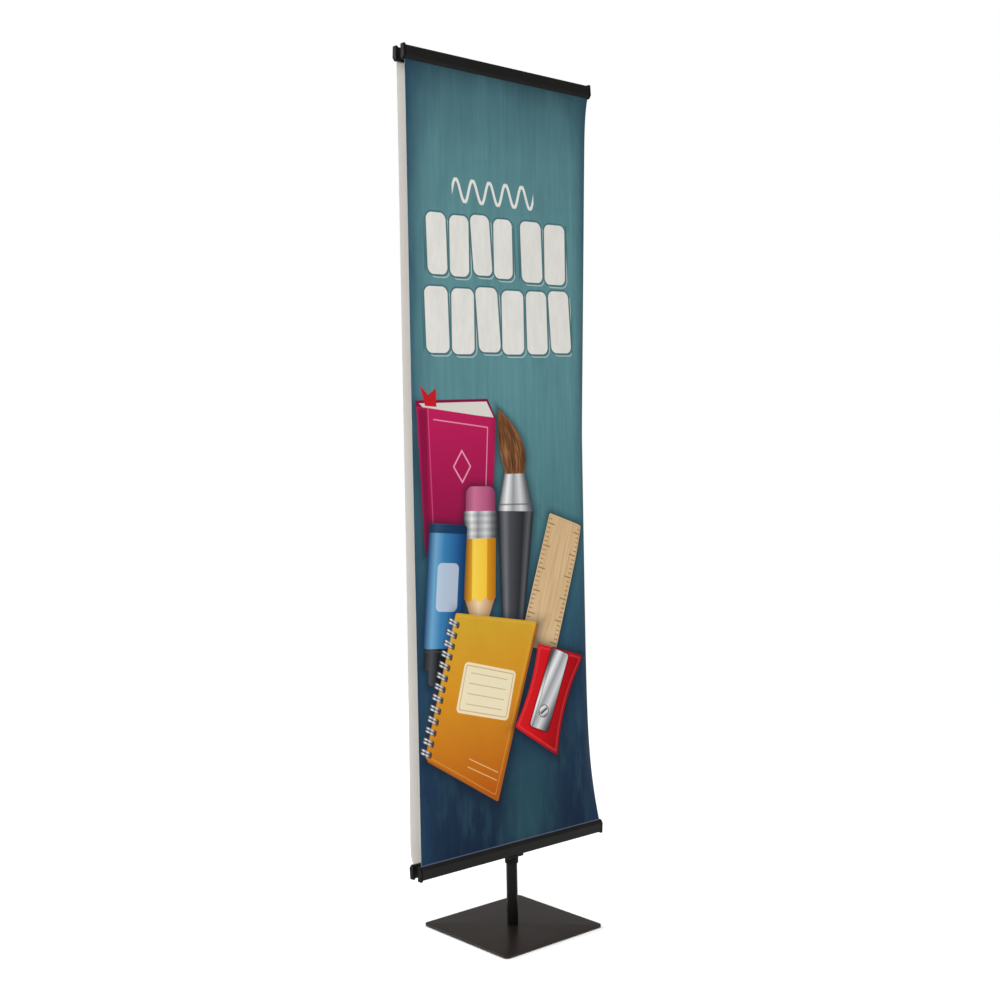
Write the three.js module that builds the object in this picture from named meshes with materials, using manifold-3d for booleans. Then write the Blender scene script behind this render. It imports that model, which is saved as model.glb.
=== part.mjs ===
// A double-sided pole banner stand: a flat square steel base with a short socket tube, a telescoping
// mast locked by two twist collars, and two pairs of snap rails that hold two printed banners back to back.
// Millimetres. +Z is up, X runs along the rails, the front banner faces -Y, and the origin is on the floor
// under the mast's axis.
import * as THREE from "three";
import { mergeVertices } from "three/addons/utils/BufferGeometryUtils.js";
import Module from "manifold-3d";

const wasm = await Module();
wasm.setup();

// Clearances.
const FIT = 0.3; // gap between two pieces that touch or turn in each other
const SHEET_FIT = 0.3; // gap on each side of a banner in its jaws

// Base plate and its rubber feet.
const BASE_SIDE = 330;
const BASE_THICK = 5;
const BASE_CORNER = 12;
const BASE_EDGE = 0.6;
const FOOT_DIAMETER = 22;
const FOOT_THICK = 2;
const FOOT_INSET = 26;

// Socket tube, its plug and the countersunk bolt that holds it to the plate.
const SOCKET_WALL = 1.5;
const PLUG_LENGTH = 28;
const BOLT_DIAMETER = 10;
const BOLT_END_MARGIN = 3;
const BOLT_RECESS = 0.2; // between the bolt's head and the plate's underside
const HEX_KEY = 6;
const HEX_DEPTH = 3;

// Twist collar and bush at the top of the socket tube.
const COLLAR_WALL = 2.9;
const COLLAR_HEIGHT = 17;
const COLLAR_LIP = 4.4;
const COLLAR_GRIPS = 18;
const GRIP_DEPTH = 0.7;
const COLLAR_HEADROOM = 0.7;
const BUSH_WALL = 1.2;
const BUSH_LENGTH = 47;
const BUSH_FLANGE = 2.7;

// Saddle plate and spigot at the foot of the mast.
const SADDLE_END = 8; // from a screw to the plate's end
const SADDLE_SIDE = 7.2; // from a screw to the plate's side
const SADDLE_THICK = 5;
const SADDLE_CORNER = 4;
const SPIGOT_WALL = 2.7;
const SPIGOT_LENGTH = 115;
const SPIGOT_PIN_DIAMETER = 4;
const SPIGOT_PIN_RISE = 40;

// Mast tubes and the height lock between them.
const MAST_DIAMETER = 16;
const MAST_WALL = 1;
const MAST_ENTRY = 95;
const MAST_REACH = 959;
const UPPER_GAP = 0.65; // round the upper tube, inside the lower one
const UPPER_WALL = 1;
const UPPER_OVERLAP = 88;
const SLIDER_LENGTH = 12;
const SLIDER_STEM = 15;
const LOCK_WALL = 2.7;
const LOCK_NECK_WALL = 2.35;
const LOCK_SKIRT = 32;
const LOCK_CAP = 2;
const LOCK_NECK = 20;
const RING_WALL = 3.2;
const RING_LIP = 8;
const RING_GRIPS = 14;

// Rails: u points out of the rail's face, v runs from the banner's slot (0) to the closed edge.
const RAIL_LENGTH = 610;
const RAIL_TOP = 2205; // closed edge of the top rails, above the floor
const RAIL_BOTTOM = 191; // closed edge of the bottom rails, above the floor
const RAIL_GAP = 1; // between the mast and the back of each rail
const RAIL_HEIGHT = 33;
const BACK_DEPTH = 7; // from the banner's plane to the rail's back face
const BACK_WALL = 1.8;
const JAW_HEIGHT = 3;
const JAW_SLOPE = 1.4; // rise of the fixed jaw's back, for strength
const JAW_NOSE = 1; // flat tip of the flap's jaw and of the cap's edge
const BEAD_RADIUS = 1.5;
const BEAD_OUT = 2.8;
const BEAD_DROP = 3; // bead's centre below the closed edge
const WEB_HALF = 0.9;
const FLAP_WALL = 1.2;
const SHOULDER_OUT = 7.6;
const SHOULDER_RISE = 8.5;
const HOOK_START = 105; // degrees, where the flap's hook begins over the bead
const HOOK_END = 300; // degrees, where it ends under the bead

// End caps.
const CAP_THICK = 6;
const CAP_PROUD = 3; // past the closed edge
const CAP_LIP = 0.4; // past the other faces
const CAP_ROUND = 1.6;
const LUG_LENGTH = 15;

// Top crosshead and screws.
const CROSSHEAD_LENGTH = 50;
const CROSSHEAD_DROP = 5; // below the closed edge
const CROSSHEAD_HEIGHT = 26;
const CROSSHEAD_PIN_DIAMETER = 3;
const TUBE_TOP_MARGIN = 4;
const TOP_SCREW = { shank: 4, head: 7.4, headHeight: 2.2, length: 8, end: 8 }; // end: from the block's end
const SADDLE_SCREW = { shank: 3, head: 5.6, headHeight: 2.2, length: 10, clear: 0.5 }; // past the collar

// Banners.
const BANNER_INSET = 0; // from the rail's end to the banner's edge
const BANNER_THICK = 0.6;
const BANNER_HEADROOM = 5.1; // between the gripped edge and the rail's web
const CURL_LENGTH = 77; // strip along the +X edge that curls back
const CURL_RADIUS = 85;
const CURL_RISE_LOW = 130; // height over which the curl grows above the bottom rail
const CURL_RISE_TOP = 900; // height over which it fades out under the top rail
const CURL_START_TOP = 40; // height of the quick first part of that fade
const CURL_START_SHARE = 0.3;
const REAR_BULGE = 7; // rear banner's bow just above its bottom rail
const BULGE_START = 15;
const BULGE_FADE = 500;
const BANNER_ROWS = 28;
const BANNER_COLUMNS = 9;

const ROUND = 36; // sides of a visible round
const SMALL_ROUND = 16; // sides of a hidden or small round

// Diameters, from the mast outwards and inwards.
const spigotDiameter = MAST_DIAMETER + 2 * (FIT + SPIGOT_WALL);
const socketDiameter = spigotDiameter + 2 * (FIT + BUSH_WALL + FIT + SOCKET_WALL);
const collarDiameter = socketDiameter + 2 * (FIT + COLLAR_WALL);
const upperDiameter = MAST_DIAMETER - 2 * (MAST_WALL + UPPER_GAP);
const lockDiameter = MAST_DIAMETER + 2 * (FIT + LOCK_WALL);
const lockNeckDiameter = upperDiameter + 2 * (FIT + LOCK_NECK_WALL);
const ringDiameter = lockNeckDiameter + 2 * (FIT + RING_WALL);
const railPitch = MAST_DIAMETER + 2 * (RAIL_GAP + BACK_DEPTH); // between the two banners' planes

// Levels that follow from the sizes above.
const plateLow = FOOT_THICK + FIT;
const plateTop = plateLow + BASE_THICK;
const saddleTop = RAIL_BOTTOM - FIT;
const saddleLow = saddleTop - SADDLE_THICK;
const spigotTop = saddleLow - FIT;
const spigotLow = spigotTop - SPIGOT_LENGTH;
const collarTop = saddleLow - COLLAR_HEADROOM;
const collarLow = collarTop - COLLAR_HEIGHT;
const flangeTop = collarTop - COLLAR_LIP - FIT;
const socketTop = flangeTop - BUSH_FLANGE - FIT;
const socketLow = plateTop + FIT;
const mastLow = saddleTop - MAST_ENTRY;
const mastTop = saddleTop + MAST_REACH;
const slotTop = RAIL_TOP - RAIL_HEIGHT;
const slotBottom = RAIL_BOTTOM + RAIL_HEIGHT;
const crossheadTop = RAIL_TOP - CROSSHEAD_DROP;
const crossheadLow = crossheadTop - CROSSHEAD_HEIGHT;
const crossheadMiddle = (crossheadTop + crossheadLow) / 2;
const upperLow = mastTop - UPPER_OVERLAP;
const upperTop = crossheadTop - TUBE_TOP_MARGIN;

// Screw places and the banner's cut.
const hollowMiddle = (BACK_DEPTH - BACK_WALL + 4 * FIT) / 2; // from the banner's plane, in a rail's hollow
const saddleScrewOut = railPitch / 2 - hollowMiddle;
const saddleScrewAlong = collarDiameter / 2 + SADDLE_SCREW.clear;
const topScrewAlong = CROSSHEAD_LENGTH / 2 - TOP_SCREW.end;
const boltHeadDepth = BASE_THICK - BOLT_RECESS - FIT;
const boltHeadDiameter = BOLT_DIAMETER + 2 * boltHeadDepth;
const bannerWidth = RAIL_LENGTH - 2 * BANNER_INSET;
const bannerGrip = RAIL_HEIGHT - BEAD_DROP - WEB_HALF - BANNER_HEADROOM;

// Colours.
const SATIN_BLACK = { color: 0x1c1b1a, roughness: 0.45, metalness: 0.4 };
const PLATE_BLACK = { color: 0x2e2725, roughness: 0.35, metalness: 0.5 };
const BLACK_PLASTIC = { color: 0x0d0d0c, roughness: 0.55, metalness: 0 };
const RUBBER = { color: 0x0a0a0a, roughness: 0.9, metalness: 0 };
const STEEL = { color: 0x9a9a98, roughness: 0.35, metalness: 1 };
const PRINTED_FILM = { color: 0x3c6a70, roughness: 0.6, metalness: 0 };

const stand = new THREE.Group();

function add(name, geometry, finish, parent = stand) {
  const mesh = new THREE.Mesh(geometry, new THREE.MeshStandardMaterial(finish));
  mesh.name = name;
  parent.add(mesh);
  return mesh;
}

// A closed geometry as a manifold solid.
function solidOf(geometry) {
  const bare = geometry.clone();
  bare.deleteAttribute("normal");
  bare.deleteAttribute("uv");
  const merged = mergeVertices(bare, 1e-4);
  const vertProperties = merged.attributes.position.array;
  const triVerts = new Uint32Array(merged.index.array);
  return new wasm.Manifold(new wasm.Mesh({ numProp: 3, vertProperties, triVerts }));
}

function cut(geometry, ...tools) {
  let body = solidOf(geometry);
  for (const tool of tools) body = body.subtract(solidOf(tool));
  return geometryOf(body);
}

function geometryOf(body) {
  const mesh = body.getMesh();
  const geometry = new THREE.BufferGeometry();
  geometry.setAttribute("position", new THREE.BufferAttribute(mesh.vertProperties, 3));
  geometry.setIndex(new THREE.BufferAttribute(mesh.triVerts, 1));
  geometry.computeVertexNormals();
  return geometry;
}

// A ring or a turned piece about Z: a closed profile of [radius, height] points.
function turned(profile, sides = ROUND) {
  const points = profile.map(([radius, height]) => new THREE.Vector2(radius, height));
  if (THREE.ShapeUtils.isClockWise(points)) points.reverse();
  points.push(points[0].clone());
  return new THREE.LatheGeometry(points, sides).rotateX(Math.PI / 2);
}

function ring(outer, inner, low, high, sides = ROUND) {
  return turned([[outer, low], [outer, high], [inner, high], [inner, low]], sides);
}

// A straight round bar between two heights, or along another axis through its middle.
function bar(diameter, length, sides = SMALL_ROUND) {
  return new THREE.CylinderGeometry(diameter / 2, diameter / 2, length, sides);
}

function barZ(diameter, low, high, sides = SMALL_ROUND) {
  return bar(diameter, high - low, sides).rotateX(Math.PI / 2).translate(0, 0, (low + high) / 2);
}

function barX(diameter, length, sides = SMALL_ROUND) {
  return bar(diameter, length, sides).rotateZ(Math.PI / 2);
}

// A flat outline in X and Y, raised from low to high.
function raised(outline, low, high) {
  const depth = high - low;
  return new THREE.ExtrudeGeometry(outline, { depth, bevelEnabled: false, curveSegments: 4 })
    .translate(0, 0, low);
}

// A rail section in Y (across) and Z (up), drawn along X from start to end.
function alongX(section, start, end) {
  const settings = { depth: end - start, bevelEnabled: false, curveSegments: 8 };
  const turn = new THREE.Matrix4().makeBasis(
    new THREE.Vector3(0, 1, 0),
    new THREE.Vector3(0, 0, 1),
    new THREE.Vector3(1, 0, 0),
  );
  return new THREE.ExtrudeGeometry(section, settings).translate(0, 0, start).applyMatrix4(turn);
}

function roundedRectangle(width, depth, corner) {
  const x = width / 2;
  const y = depth / 2;
  const outline = new THREE.Shape();
  outline.absarc(x - corner, y - corner, corner, 0, Math.PI / 2, false);
  outline.absarc(corner - x, y - corner, corner, Math.PI / 2, Math.PI, false);
  outline.absarc(corner - x, corner - y, corner, Math.PI, Math.PI * 1.5, false);
  outline.absarc(x - corner, corner - y, corner, Math.PI * 1.5, Math.PI * 2, false);
  return outline;
}

// Shallow finger grooves round a collar, as upright bars to cut away.
function grips(count, radius, low, high) {
  const groove = GRIP_DEPTH * 4;
  return Array.from({ length: count }, (_, index) => {
    const angle = (index / count) * Math.PI * 2;
    const reach = radius + groove / 2 - GRIP_DEPTH;
    const x = reach * Math.cos(angle);
    const y = reach * Math.sin(angle);
    return barZ(groove, low, high, 8).translate(x, y, 0);
  });
}

// A pan-head screw with its axis on Z: the head is below zero, the shank above.
function screw({ shank, head, headHeight, length }) {
  const profile = [
    [0, -headHeight],
    [head / 2 - 0.6, -headHeight],
    [head / 2, 0.6 - headHeight],
    [head / 2, 0],
    [shank / 2, 0],
    [shank / 2, length],
    [0, length],
  ];
  const points = profile.map(([radius, height]) => new THREE.Vector2(radius, height));
  const body = new THREE.LatheGeometry(points, SMALL_ROUND).rotateX(Math.PI / 2);
  const driveDepth = headHeight * 0.6;
  const drive = new THREE.CylinderGeometry(shank * 0.38, shank * 0.38, driveDepth * 2, 6)
    .rotateX(Math.PI / 2)
    .translate(0, 0, -headHeight);
  return cut(body, drive);
}

// ---- Base ----

function basePlate() {
  const flat = roundedRectangle(BASE_SIDE - 2 * BASE_EDGE, BASE_SIDE - 2 * BASE_EDGE, BASE_CORNER);
  const plate = new THREE.ExtrudeGeometry(flat, {
    depth: BASE_THICK - 2 * BASE_EDGE,
    bevelThickness: BASE_EDGE,
    bevelSize: BASE_EDGE,
    bevelSegments: 1,
    curveSegments: 6,
  }).translate(0, 0, plateLow + BASE_EDGE);
  const mouth = boltHeadDiameter / 2 + FIT;
  const throat = BOLT_DIAMETER / 2 + FIT;
  const headTop = plateLow + BOLT_RECESS + boltHeadDepth;
  const countersink = turnedSolid([
    [mouth, plateLow - 1],
    [mouth, plateLow + BOLT_RECESS],
    [throat, headTop],
    [throat, plateTop + 1],
  ]);
  return cut(plate, countersink);
}

// A turned solid that closes on the axis at both ends.
function turnedSolid(profile, sides = SMALL_ROUND) {
  const low = [0, profile[0][1]];
  const high = [0, profile[profile.length - 1][1]];
  const points = [low, ...profile, high].map(([radius, height]) => new THREE.Vector2(radius, height));
  return new THREE.LatheGeometry(points, sides).rotateX(Math.PI / 2);
}

function baseBolt() {
  const headLow = plateLow + BOLT_RECESS;
  const end = socketLow + PLUG_LENGTH - BOLT_END_MARGIN;
  const body = turnedSolid([
    [boltHeadDiameter / 2, headLow],
    [BOLT_DIAMETER / 2, headLow + boltHeadDepth],
    [BOLT_DIAMETER / 2, end],
  ]);
  const hexRadius = HEX_KEY / Math.sqrt(3);
  const hex = new THREE.CylinderGeometry(hexRadius, hexRadius, HEX_DEPTH * 2, 6)
    .rotateX(Math.PI / 2)
    .translate(0, 0, headLow);
  return cut(body, hex);
}

function makeBase() {
  add("base_plate", basePlate(), PLATE_BLACK);
  const reach = BASE_SIDE / 2 - FOOT_INSET;
  const corners = { front_left: [-1, -1], front_right: [1, -1], rear_left: [-1, 1], rear_right: [1, 1] };
  for (const [corner, [x, y]] of Object.entries(corners)) {
    const pad = barZ(FOOT_DIAMETER, 0, FOOT_THICK).translate(x * reach, y * reach, 0);
    add(`foot_${corner}`, pad, RUBBER);
  }
  add("base_bolt", baseBolt(), STEEL);
  const socketBore = socketDiameter / 2 - SOCKET_WALL;
  const plugHole = BOLT_DIAMETER / 2 + FIT;
  const plug = ring(socketBore - FIT, plugHole, socketLow, socketLow + PLUG_LENGTH, SMALL_ROUND);
  add("socket_plug", plug, STEEL);
  add("socket_tube", ring(socketDiameter / 2, socketBore, socketLow, socketTop), SATIN_BLACK);
  const bushLow = socketTop + FIT - BUSH_LENGTH;
  const bushBore = spigotDiameter / 2 + FIT;
  const bush = turned([
    [bushBore, bushLow],
    [socketBore - FIT, bushLow],
    [socketBore - FIT, socketTop + FIT],
    [socketDiameter / 2, socketTop + FIT],
    [socketDiameter / 2, flangeTop],
    [bushBore, flangeTop],
  ]);
  add("socket_bush", bush, BLACK_PLASTIC);
}

function makeBaseCollar() {
  const wide = collarDiameter / 2;
  const lipLow = collarTop - COLLAR_LIP;
  const body = turned([
    [socketDiameter / 2 + FIT, collarLow],
    [wide - 1, collarLow],
    [wide, collarLow + 1],
    [wide, collarTop - 1],
    [wide - 1, collarTop],
    [spigotDiameter / 2 + FIT, collarTop],
    [spigotDiameter / 2 + FIT, lipLow],
    [socketDiameter / 2 + FIT, lipLow],
  ]);
  const grooves = grips(COLLAR_GRIPS, wide, collarLow + 2.5, collarTop - 2.5);
  add("base_collar", cut(body, ...grooves), BLACK_PLASTIC);
}

// ---- Mast ----

function makeMast() {
  const mastHole = MAST_DIAMETER / 2 + FIT;
  const pinHeight = spigotLow + SPIGOT_PIN_RISE;
  const pinHole = barX(SPIGOT_PIN_DIAMETER + 2 * FIT, spigotDiameter * 2).translate(0, 0, pinHeight);
  const spigot = ring(spigotDiameter / 2, mastHole, spigotLow, spigotTop);
  add("mast_spigot", cut(spigot, pinHole), SATIN_BLACK);
  const tube = ring(MAST_DIAMETER / 2, MAST_DIAMETER / 2 - MAST_WALL, mastLow, mastTop);
  add("lower_mast_tube", cut(tube, pinHole), SATIN_BLACK);
  const pin = barX(SPIGOT_PIN_DIAMETER, spigotDiameter - FIT).translate(0, 0, pinHeight);
  add("spigot_pin", pin, STEEL);

  const plateLength = 2 * (saddleScrewAlong + SADDLE_END);
  const plateWidth = 2 * (saddleScrewOut + SADDLE_SIDE);
  const outline = roundedRectangle(plateLength, plateWidth, SADDLE_CORNER);
  const holes = [barZ(mastHole * 2, saddleLow - 1, saddleTop + 1, ROUND)];
  const { shank } = SADDLE_SCREW;
  const seats = [[-1, -1], [1, -1], [-1, 1], [1, 1]]
    .map(([x, y]) => [x * saddleScrewAlong, y * saddleScrewOut]);
  for (const [x, y] of seats) {
    holes.push(barZ(shank + 2 * FIT, saddleLow - 1, saddleTop + 1).translate(x, y, 0));
  }
  add("saddle_plate", cut(raised(outline, saddleLow, saddleTop), ...holes), SATIN_BLACK);
  seats.forEach(([x, y], index) => {
    const seated = screw(SADDLE_SCREW).translate(x, y, saddleLow - FIT);
    add(`saddle_screw_${index + 1}`, seated, STEEL);
  });

  const neckTop = mastTop + FIT + LOCK_CAP + LOCK_NECK;
  const upperHole = upperDiameter / 2 + FIT;
  const sleeve = turned([
    [mastHole, mastTop - LOCK_SKIRT],
    [lockDiameter / 2, mastTop - LOCK_SKIRT],
    [lockDiameter / 2, mastTop + FIT + LOCK_CAP],
    [lockNeckDiameter / 2, mastTop + FIT + LOCK_CAP],
    [lockNeckDiameter / 2, neckTop],
    [upperHole, neckTop],
    [upperHole, mastTop + FIT],
    [mastHole, mastTop + FIT],
  ]);
  add("height_lock_sleeve", sleeve, BLACK_PLASTIC);
}

function makeHeightLockRing() {
  const low = mastTop + LOCK_CAP + 2 * FIT;
  const step = mastTop + LOCK_CAP + LOCK_NECK + 2 * FIT;
  const high = step + RING_LIP;
  const wide = ringDiameter / 2;
  const body = turned([
    [lockNeckDiameter / 2 + FIT, low],
    [wide, low],
    [wide, high - 2],
    [wide - 2, high],
    [upperDiameter / 2 + FIT, high],
    [upperDiameter / 2 + FIT, step],
    [lockNeckDiameter / 2 + FIT, step],
  ]);
  add("height_lock_ring", cut(body, ...grips(RING_GRIPS, wide, low + 3, high - 5)), BLACK_PLASTIC);
}

function makeUpperMast() {
  const tubeBore = upperDiameter / 2 - UPPER_WALL;
  const holeDiameter = CROSSHEAD_PIN_DIAMETER + 2 * FIT;
  const backGap = railPitch - 2 * BACK_DEPTH;
  const blockWidth = backGap - 2 * FIT;
  const pinHole = bar(holeDiameter, backGap * 2).translate(0, 0, crossheadMiddle);
  const tube = ring(upperDiameter / 2, tubeBore, upperLow, upperTop);
  add("upper_mast_tube", cut(tube, pinHole), SATIN_BLACK);
  const slider = turnedSolid([
    [MAST_DIAMETER / 2 - MAST_WALL - FIT, upperLow - FIT - SLIDER_LENGTH],
    [MAST_DIAMETER / 2 - MAST_WALL - FIT, upperLow - FIT],
    [tubeBore - FIT, upperLow - FIT],
    [tubeBore - FIT, upperLow - FIT + SLIDER_STEM],
  ]);
  add("tube_slider", slider, BLACK_PLASTIC);

  const block = new THREE.BoxGeometry(CROSSHEAD_LENGTH, blockWidth, CROSSHEAD_HEIGHT)
    .translate(0, 0, crossheadMiddle);
  const tubeHole = barZ(upperDiameter + 2 * FIT, crossheadLow - 1, crossheadTop + 1, ROUND);
  const { shank } = TOP_SCREW;
  const screwHoles = [-topScrewAlong, topScrewAlong].map((x) =>
    bar(shank + 2 * FIT, backGap * 2).translate(x, 0, crossheadMiddle));
  add("crosshead", cut(block, tubeHole, pinHole, ...screwHoles), BLACK_PLASTIC);
  const pin = bar(CROSSHEAD_PIN_DIAMETER, blockWidth).translate(0, 0, crossheadMiddle);
  add("crosshead_pin", pin, STEEL);
  const headSeat = backGap / 2 + BACK_WALL + FIT;
  for (const [side, turn] of [["front", -1], ["rear", 1]]) {
    [-topScrewAlong, topScrewAlong].forEach((x, index) => {
      // The shank points from the rail towards the mast's axis.
      const seated = screw(TOP_SCREW)
        .rotateX((turn * Math.PI) / 2)
        .translate(x, turn * headSeat, crossheadMiddle);
      add(`crosshead_screw_${side}_${index + 1}`, seated, STEEL);
    });
  }
}

// ---- Rails ----

const beadAcross = -BEAD_OUT; // across is -u, so that the rail's face looks along -Y
const beadHeight = RAIL_HEIGHT - BEAD_DROP;
const jawGap = BANNER_THICK / 2 + SHEET_FIT;
const hookInner = BEAD_RADIUS + FIT;
const hookOuter = hookInner + FLAP_WALL;
const degrees = THREE.MathUtils.degToRad;

// The fixed half: back wall, one jaw, and a web along the closed edge that ends in the hinge bead.
function railSection() {
  const webEnd = beadAcross + Math.sqrt(BEAD_RADIUS ** 2 - WEB_HALF ** 2);
  const beadAngle = Math.asin(WEB_HALF / BEAD_RADIUS);
  const hookClear = beadAcross + hookOuter + FIT;
  const inner = BACK_DEPTH - BACK_WALL;
  const section = new THREE.Shape();
  section.moveTo(BACK_DEPTH, 0);
  section.lineTo(BACK_DEPTH, RAIL_HEIGHT);
  section.lineTo(hookClear, RAIL_HEIGHT);
  section.lineTo(hookClear, beadHeight + WEB_HALF);
  section.lineTo(webEnd, beadHeight + WEB_HALF);
  section.absarc(beadAcross, beadHeight, BEAD_RADIUS, beadAngle, 2 * Math.PI - beadAngle, false);
  section.lineTo(inner, beadHeight - WEB_HALF);
  section.lineTo(inner, JAW_HEIGHT + JAW_SLOPE);
  section.lineTo(jawGap, JAW_HEIGHT);
  section.lineTo(jawGap, 0);
  return section;
}

// The snap flap: a hook round the bead, a face that leans out to a shoulder, and the other jaw.
function flapSection() {
  const faceEnd = beadAcross - hookOuter;
  const lean = (SHOULDER_OUT + faceEnd) / (beadHeight - SHOULDER_RISE);
  const underside = beadHeight - Math.sqrt(hookOuter ** 2 - hookInner ** 2);
  const rootAngle = Math.PI + Math.asin((beadHeight - underside) / hookOuter);
  const section = new THREE.Shape();
  section.absarc(beadAcross, beadHeight, hookOuter, degrees(HOOK_START), Math.PI, false);
  section.lineTo(-SHOULDER_OUT, SHOULDER_RISE);
  section.lineTo(-jawGap - JAW_NOSE, 0);
  section.lineTo(-jawGap, 0);
  section.lineTo(-jawGap, JAW_HEIGHT);
  section.lineTo(FLAP_WALL * 1.2 - SHOULDER_OUT, SHOULDER_RISE + FLAP_WALL * 0.8);
  section.lineTo(beadAcross - hookInner - lean * (beadHeight - underside), underside);
  section.absarc(beadAcross, beadHeight, hookOuter, rootAngle, degrees(HOOK_END), false);
  section.absarc(beadAcross, beadHeight, hookInner, degrees(HOOK_END), degrees(HOOK_START), true);
  return section;
}

// The cap's outline stands a little past the rail on every side, and further past its closed edge.
function capSection() {
  const back = BACK_DEPTH + CAP_LIP;
  const top = RAIL_HEIGHT + CAP_PROUD;
  const face = BEAD_OUT + hookOuter + CAP_LIP;
  const shoulder = SHOULDER_OUT + CAP_LIP;
  const section = new THREE.Shape();
  section.moveTo(back, -CAP_LIP);
  section.absarc(back - CAP_ROUND, top - CAP_ROUND, CAP_ROUND, 0, Math.PI / 2, false);
  section.absarc(CAP_ROUND - face, top - CAP_ROUND, CAP_ROUND, Math.PI / 2, Math.PI, false);
  section.lineTo(-shoulder, SHOULDER_RISE);
  section.lineTo(-jawGap - JAW_NOSE, -CAP_LIP);
  return section;
}

function lugSection() {
  const section = new THREE.Shape();
  const near = jawGap + FIT;
  const far = BACK_DEPTH - BACK_WALL - FIT;
  const low = JAW_HEIGHT + JAW_SLOPE + 2 * FIT;
  const high = beadHeight - WEB_HALF - FIT;
  section.moveTo(near, low);
  section.lineTo(far, low);
  section.lineTo(far, high);
  section.lineTo(near, high);
  return section;
}

function railCap(end) {
  const inner = RAIL_LENGTH / 2 + FIT;
  const span = (start, finish) => (end > 0 ? [start, finish] : [-finish, -start]);
  const plate = solidOf(alongX(capSection(), ...span(inner, inner + CAP_THICK)));
  const lug = solidOf(alongX(lugSection(), ...span(RAIL_LENGTH / 2 - LUG_LENGTH, inner + 1)));
  return geometryOf(plate.add(lug));
}

// One rail: its frame has the banner's plane at y = 0 and the slot's edge at z = 0.
function makeRail(side, level) {
  const rail = new THREE.Group();
  const half = RAIL_LENGTH / 2;
  const name = `${side}_${level}`;
  const holes = level === "top" ? crossheadHoles() : saddleHoles();
  add(`${name}_rail`, cut(alongX(railSection(), -half, half), ...holes), SATIN_BLACK, rail);
  add(`${name}_flap`, alongX(flapSection(), -half, half), SATIN_BLACK, rail);
  // A half turn about Z or Y swaps the two ends, so each cap is named after where it ends up.
  const swaps = (side === "rear") !== (level === "bottom");
  add(`${name}_cap_left`, railCap(swaps ? 1 : -1), BLACK_PLASTIC, rail);
  add(`${name}_cap_right`, railCap(swaps ? -1 : 1), BLACK_PLASTIC, rail);
  if (level === "bottom") rail.rotation.y = Math.PI;
  rail.position.y = -railPitch / 2;
  rail.position.z = level === "top" ? slotTop : slotBottom;
  const place = new THREE.Group();
  if (side === "rear") place.rotation.z = Math.PI;
  place.add(rail);
  stand.add(place);
}

function crossheadHoles() {
  const { shank } = TOP_SCREW;
  const across = BACK_DEPTH - BACK_WALL / 2;
  return [-topScrewAlong, topScrewAlong].map((x) =>
    bar(shank + 2 * FIT, BACK_WALL * 3).translate(x, across, crossheadMiddle - slotTop));
}

function saddleHoles() {
  const { shank } = SADDLE_SCREW;
  return [-saddleScrewAlong, saddleScrewAlong].map((x) =>
    barZ(shank + 2 * FIT, beadHeight - WEB_HALF - 1, RAIL_HEIGHT + 1).translate(x, hollowMiddle, 0));
}

// ---- Banners ----

// How far the +X edge has curled at a height: 0 at the rails, 1 over the middle.
function curlShare(height) {
  const low = Math.max(0, height - slotBottom);
  const high = Math.max(0, slotTop - height);
  const quick = CURL_START_SHARE * (1 - Math.exp(-high / CURL_START_TOP));
  const top = Math.min(1, quick + ((1 - CURL_START_SHARE) * high) / CURL_RISE_TOP);
  return (1 - Math.exp(-low / CURL_RISE_LOW)) * top;
}

// A strip of the sheet bends round a cylinder whose curvature follows the curl's share.
function curled(x, height) {
  const along = x - (bannerWidth / 2 - CURL_LENGTH);
  const bend = curlShare(height) / CURL_RADIUS;
  if (along <= 0 || bend < 1e-6) return [x, 0];
  return [x - along + Math.sin(bend * along) / bend, (1 - Math.cos(bend * along)) / bend];
}

function rearBulge(height) {
  const low = Math.max(0, height - slotBottom);
  const high = Math.max(0, slotTop - height);
  return REAR_BULGE * (1 - Math.exp(-low / BULGE_START)) * Math.exp(-low / BULGE_FADE)
    * Math.min(1, high / BULGE_FADE);
}

// Rows: one inside each rail, the rest over the free height, closer together near the rails.
function rowHeight(row) {
  if (row === 0) return slotBottom - bannerGrip;
  if (row === BANNER_ROWS) return slotTop + bannerGrip;
  const turn = ((row - 1) / (BANNER_ROWS - 2)) * Math.PI;
  return slotBottom + ((slotTop - slotBottom) * (1 - Math.cos(turn))) / 2;
}

// Columns: one across the flat stretch, the rest over the curl.
function columnPlace(column) {
  if (column === 0) return -bannerWidth / 2;
  return bannerWidth / 2 - CURL_LENGTH + (CURL_LENGTH * (column - 1)) / (BANNER_COLUMNS - 1);
}

function banner(side) {
  const sheet = new THREE.BoxGeometry(1, BANNER_THICK, 1, BANNER_COLUMNS, 1, BANNER_ROWS);
  const places = sheet.attributes.position;
  const plane = (side * railPitch) / 2;
  for (let index = 0; index < places.count; index += 1) {
    const column = Math.round((places.getX(index) + 0.5) * BANNER_COLUMNS);
    const row = Math.round((places.getZ(index) + 0.5) * BANNER_ROWS);
    const height = rowHeight(row);
    const [x, back] = curled(columnPlace(column), height);
    const bulge = side > 0 ? rearBulge(height) : 0;
    places.setXYZ(index, x, plane + places.getY(index) + back + bulge, height);
  }
  return sheet;
}

makeBase();
makeBaseCollar();
makeMast();
makeHeightLockRing();
makeUpperMast();
for (const side of ["front", "rear"]) {
  for (const level of ["top", "bottom"]) makeRail(side, level);
}
add("front_banner", banner(-1), PRINTED_FILM);
add("rear_banner", banner(1), PRINTED_FILM);

export default stand;
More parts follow.
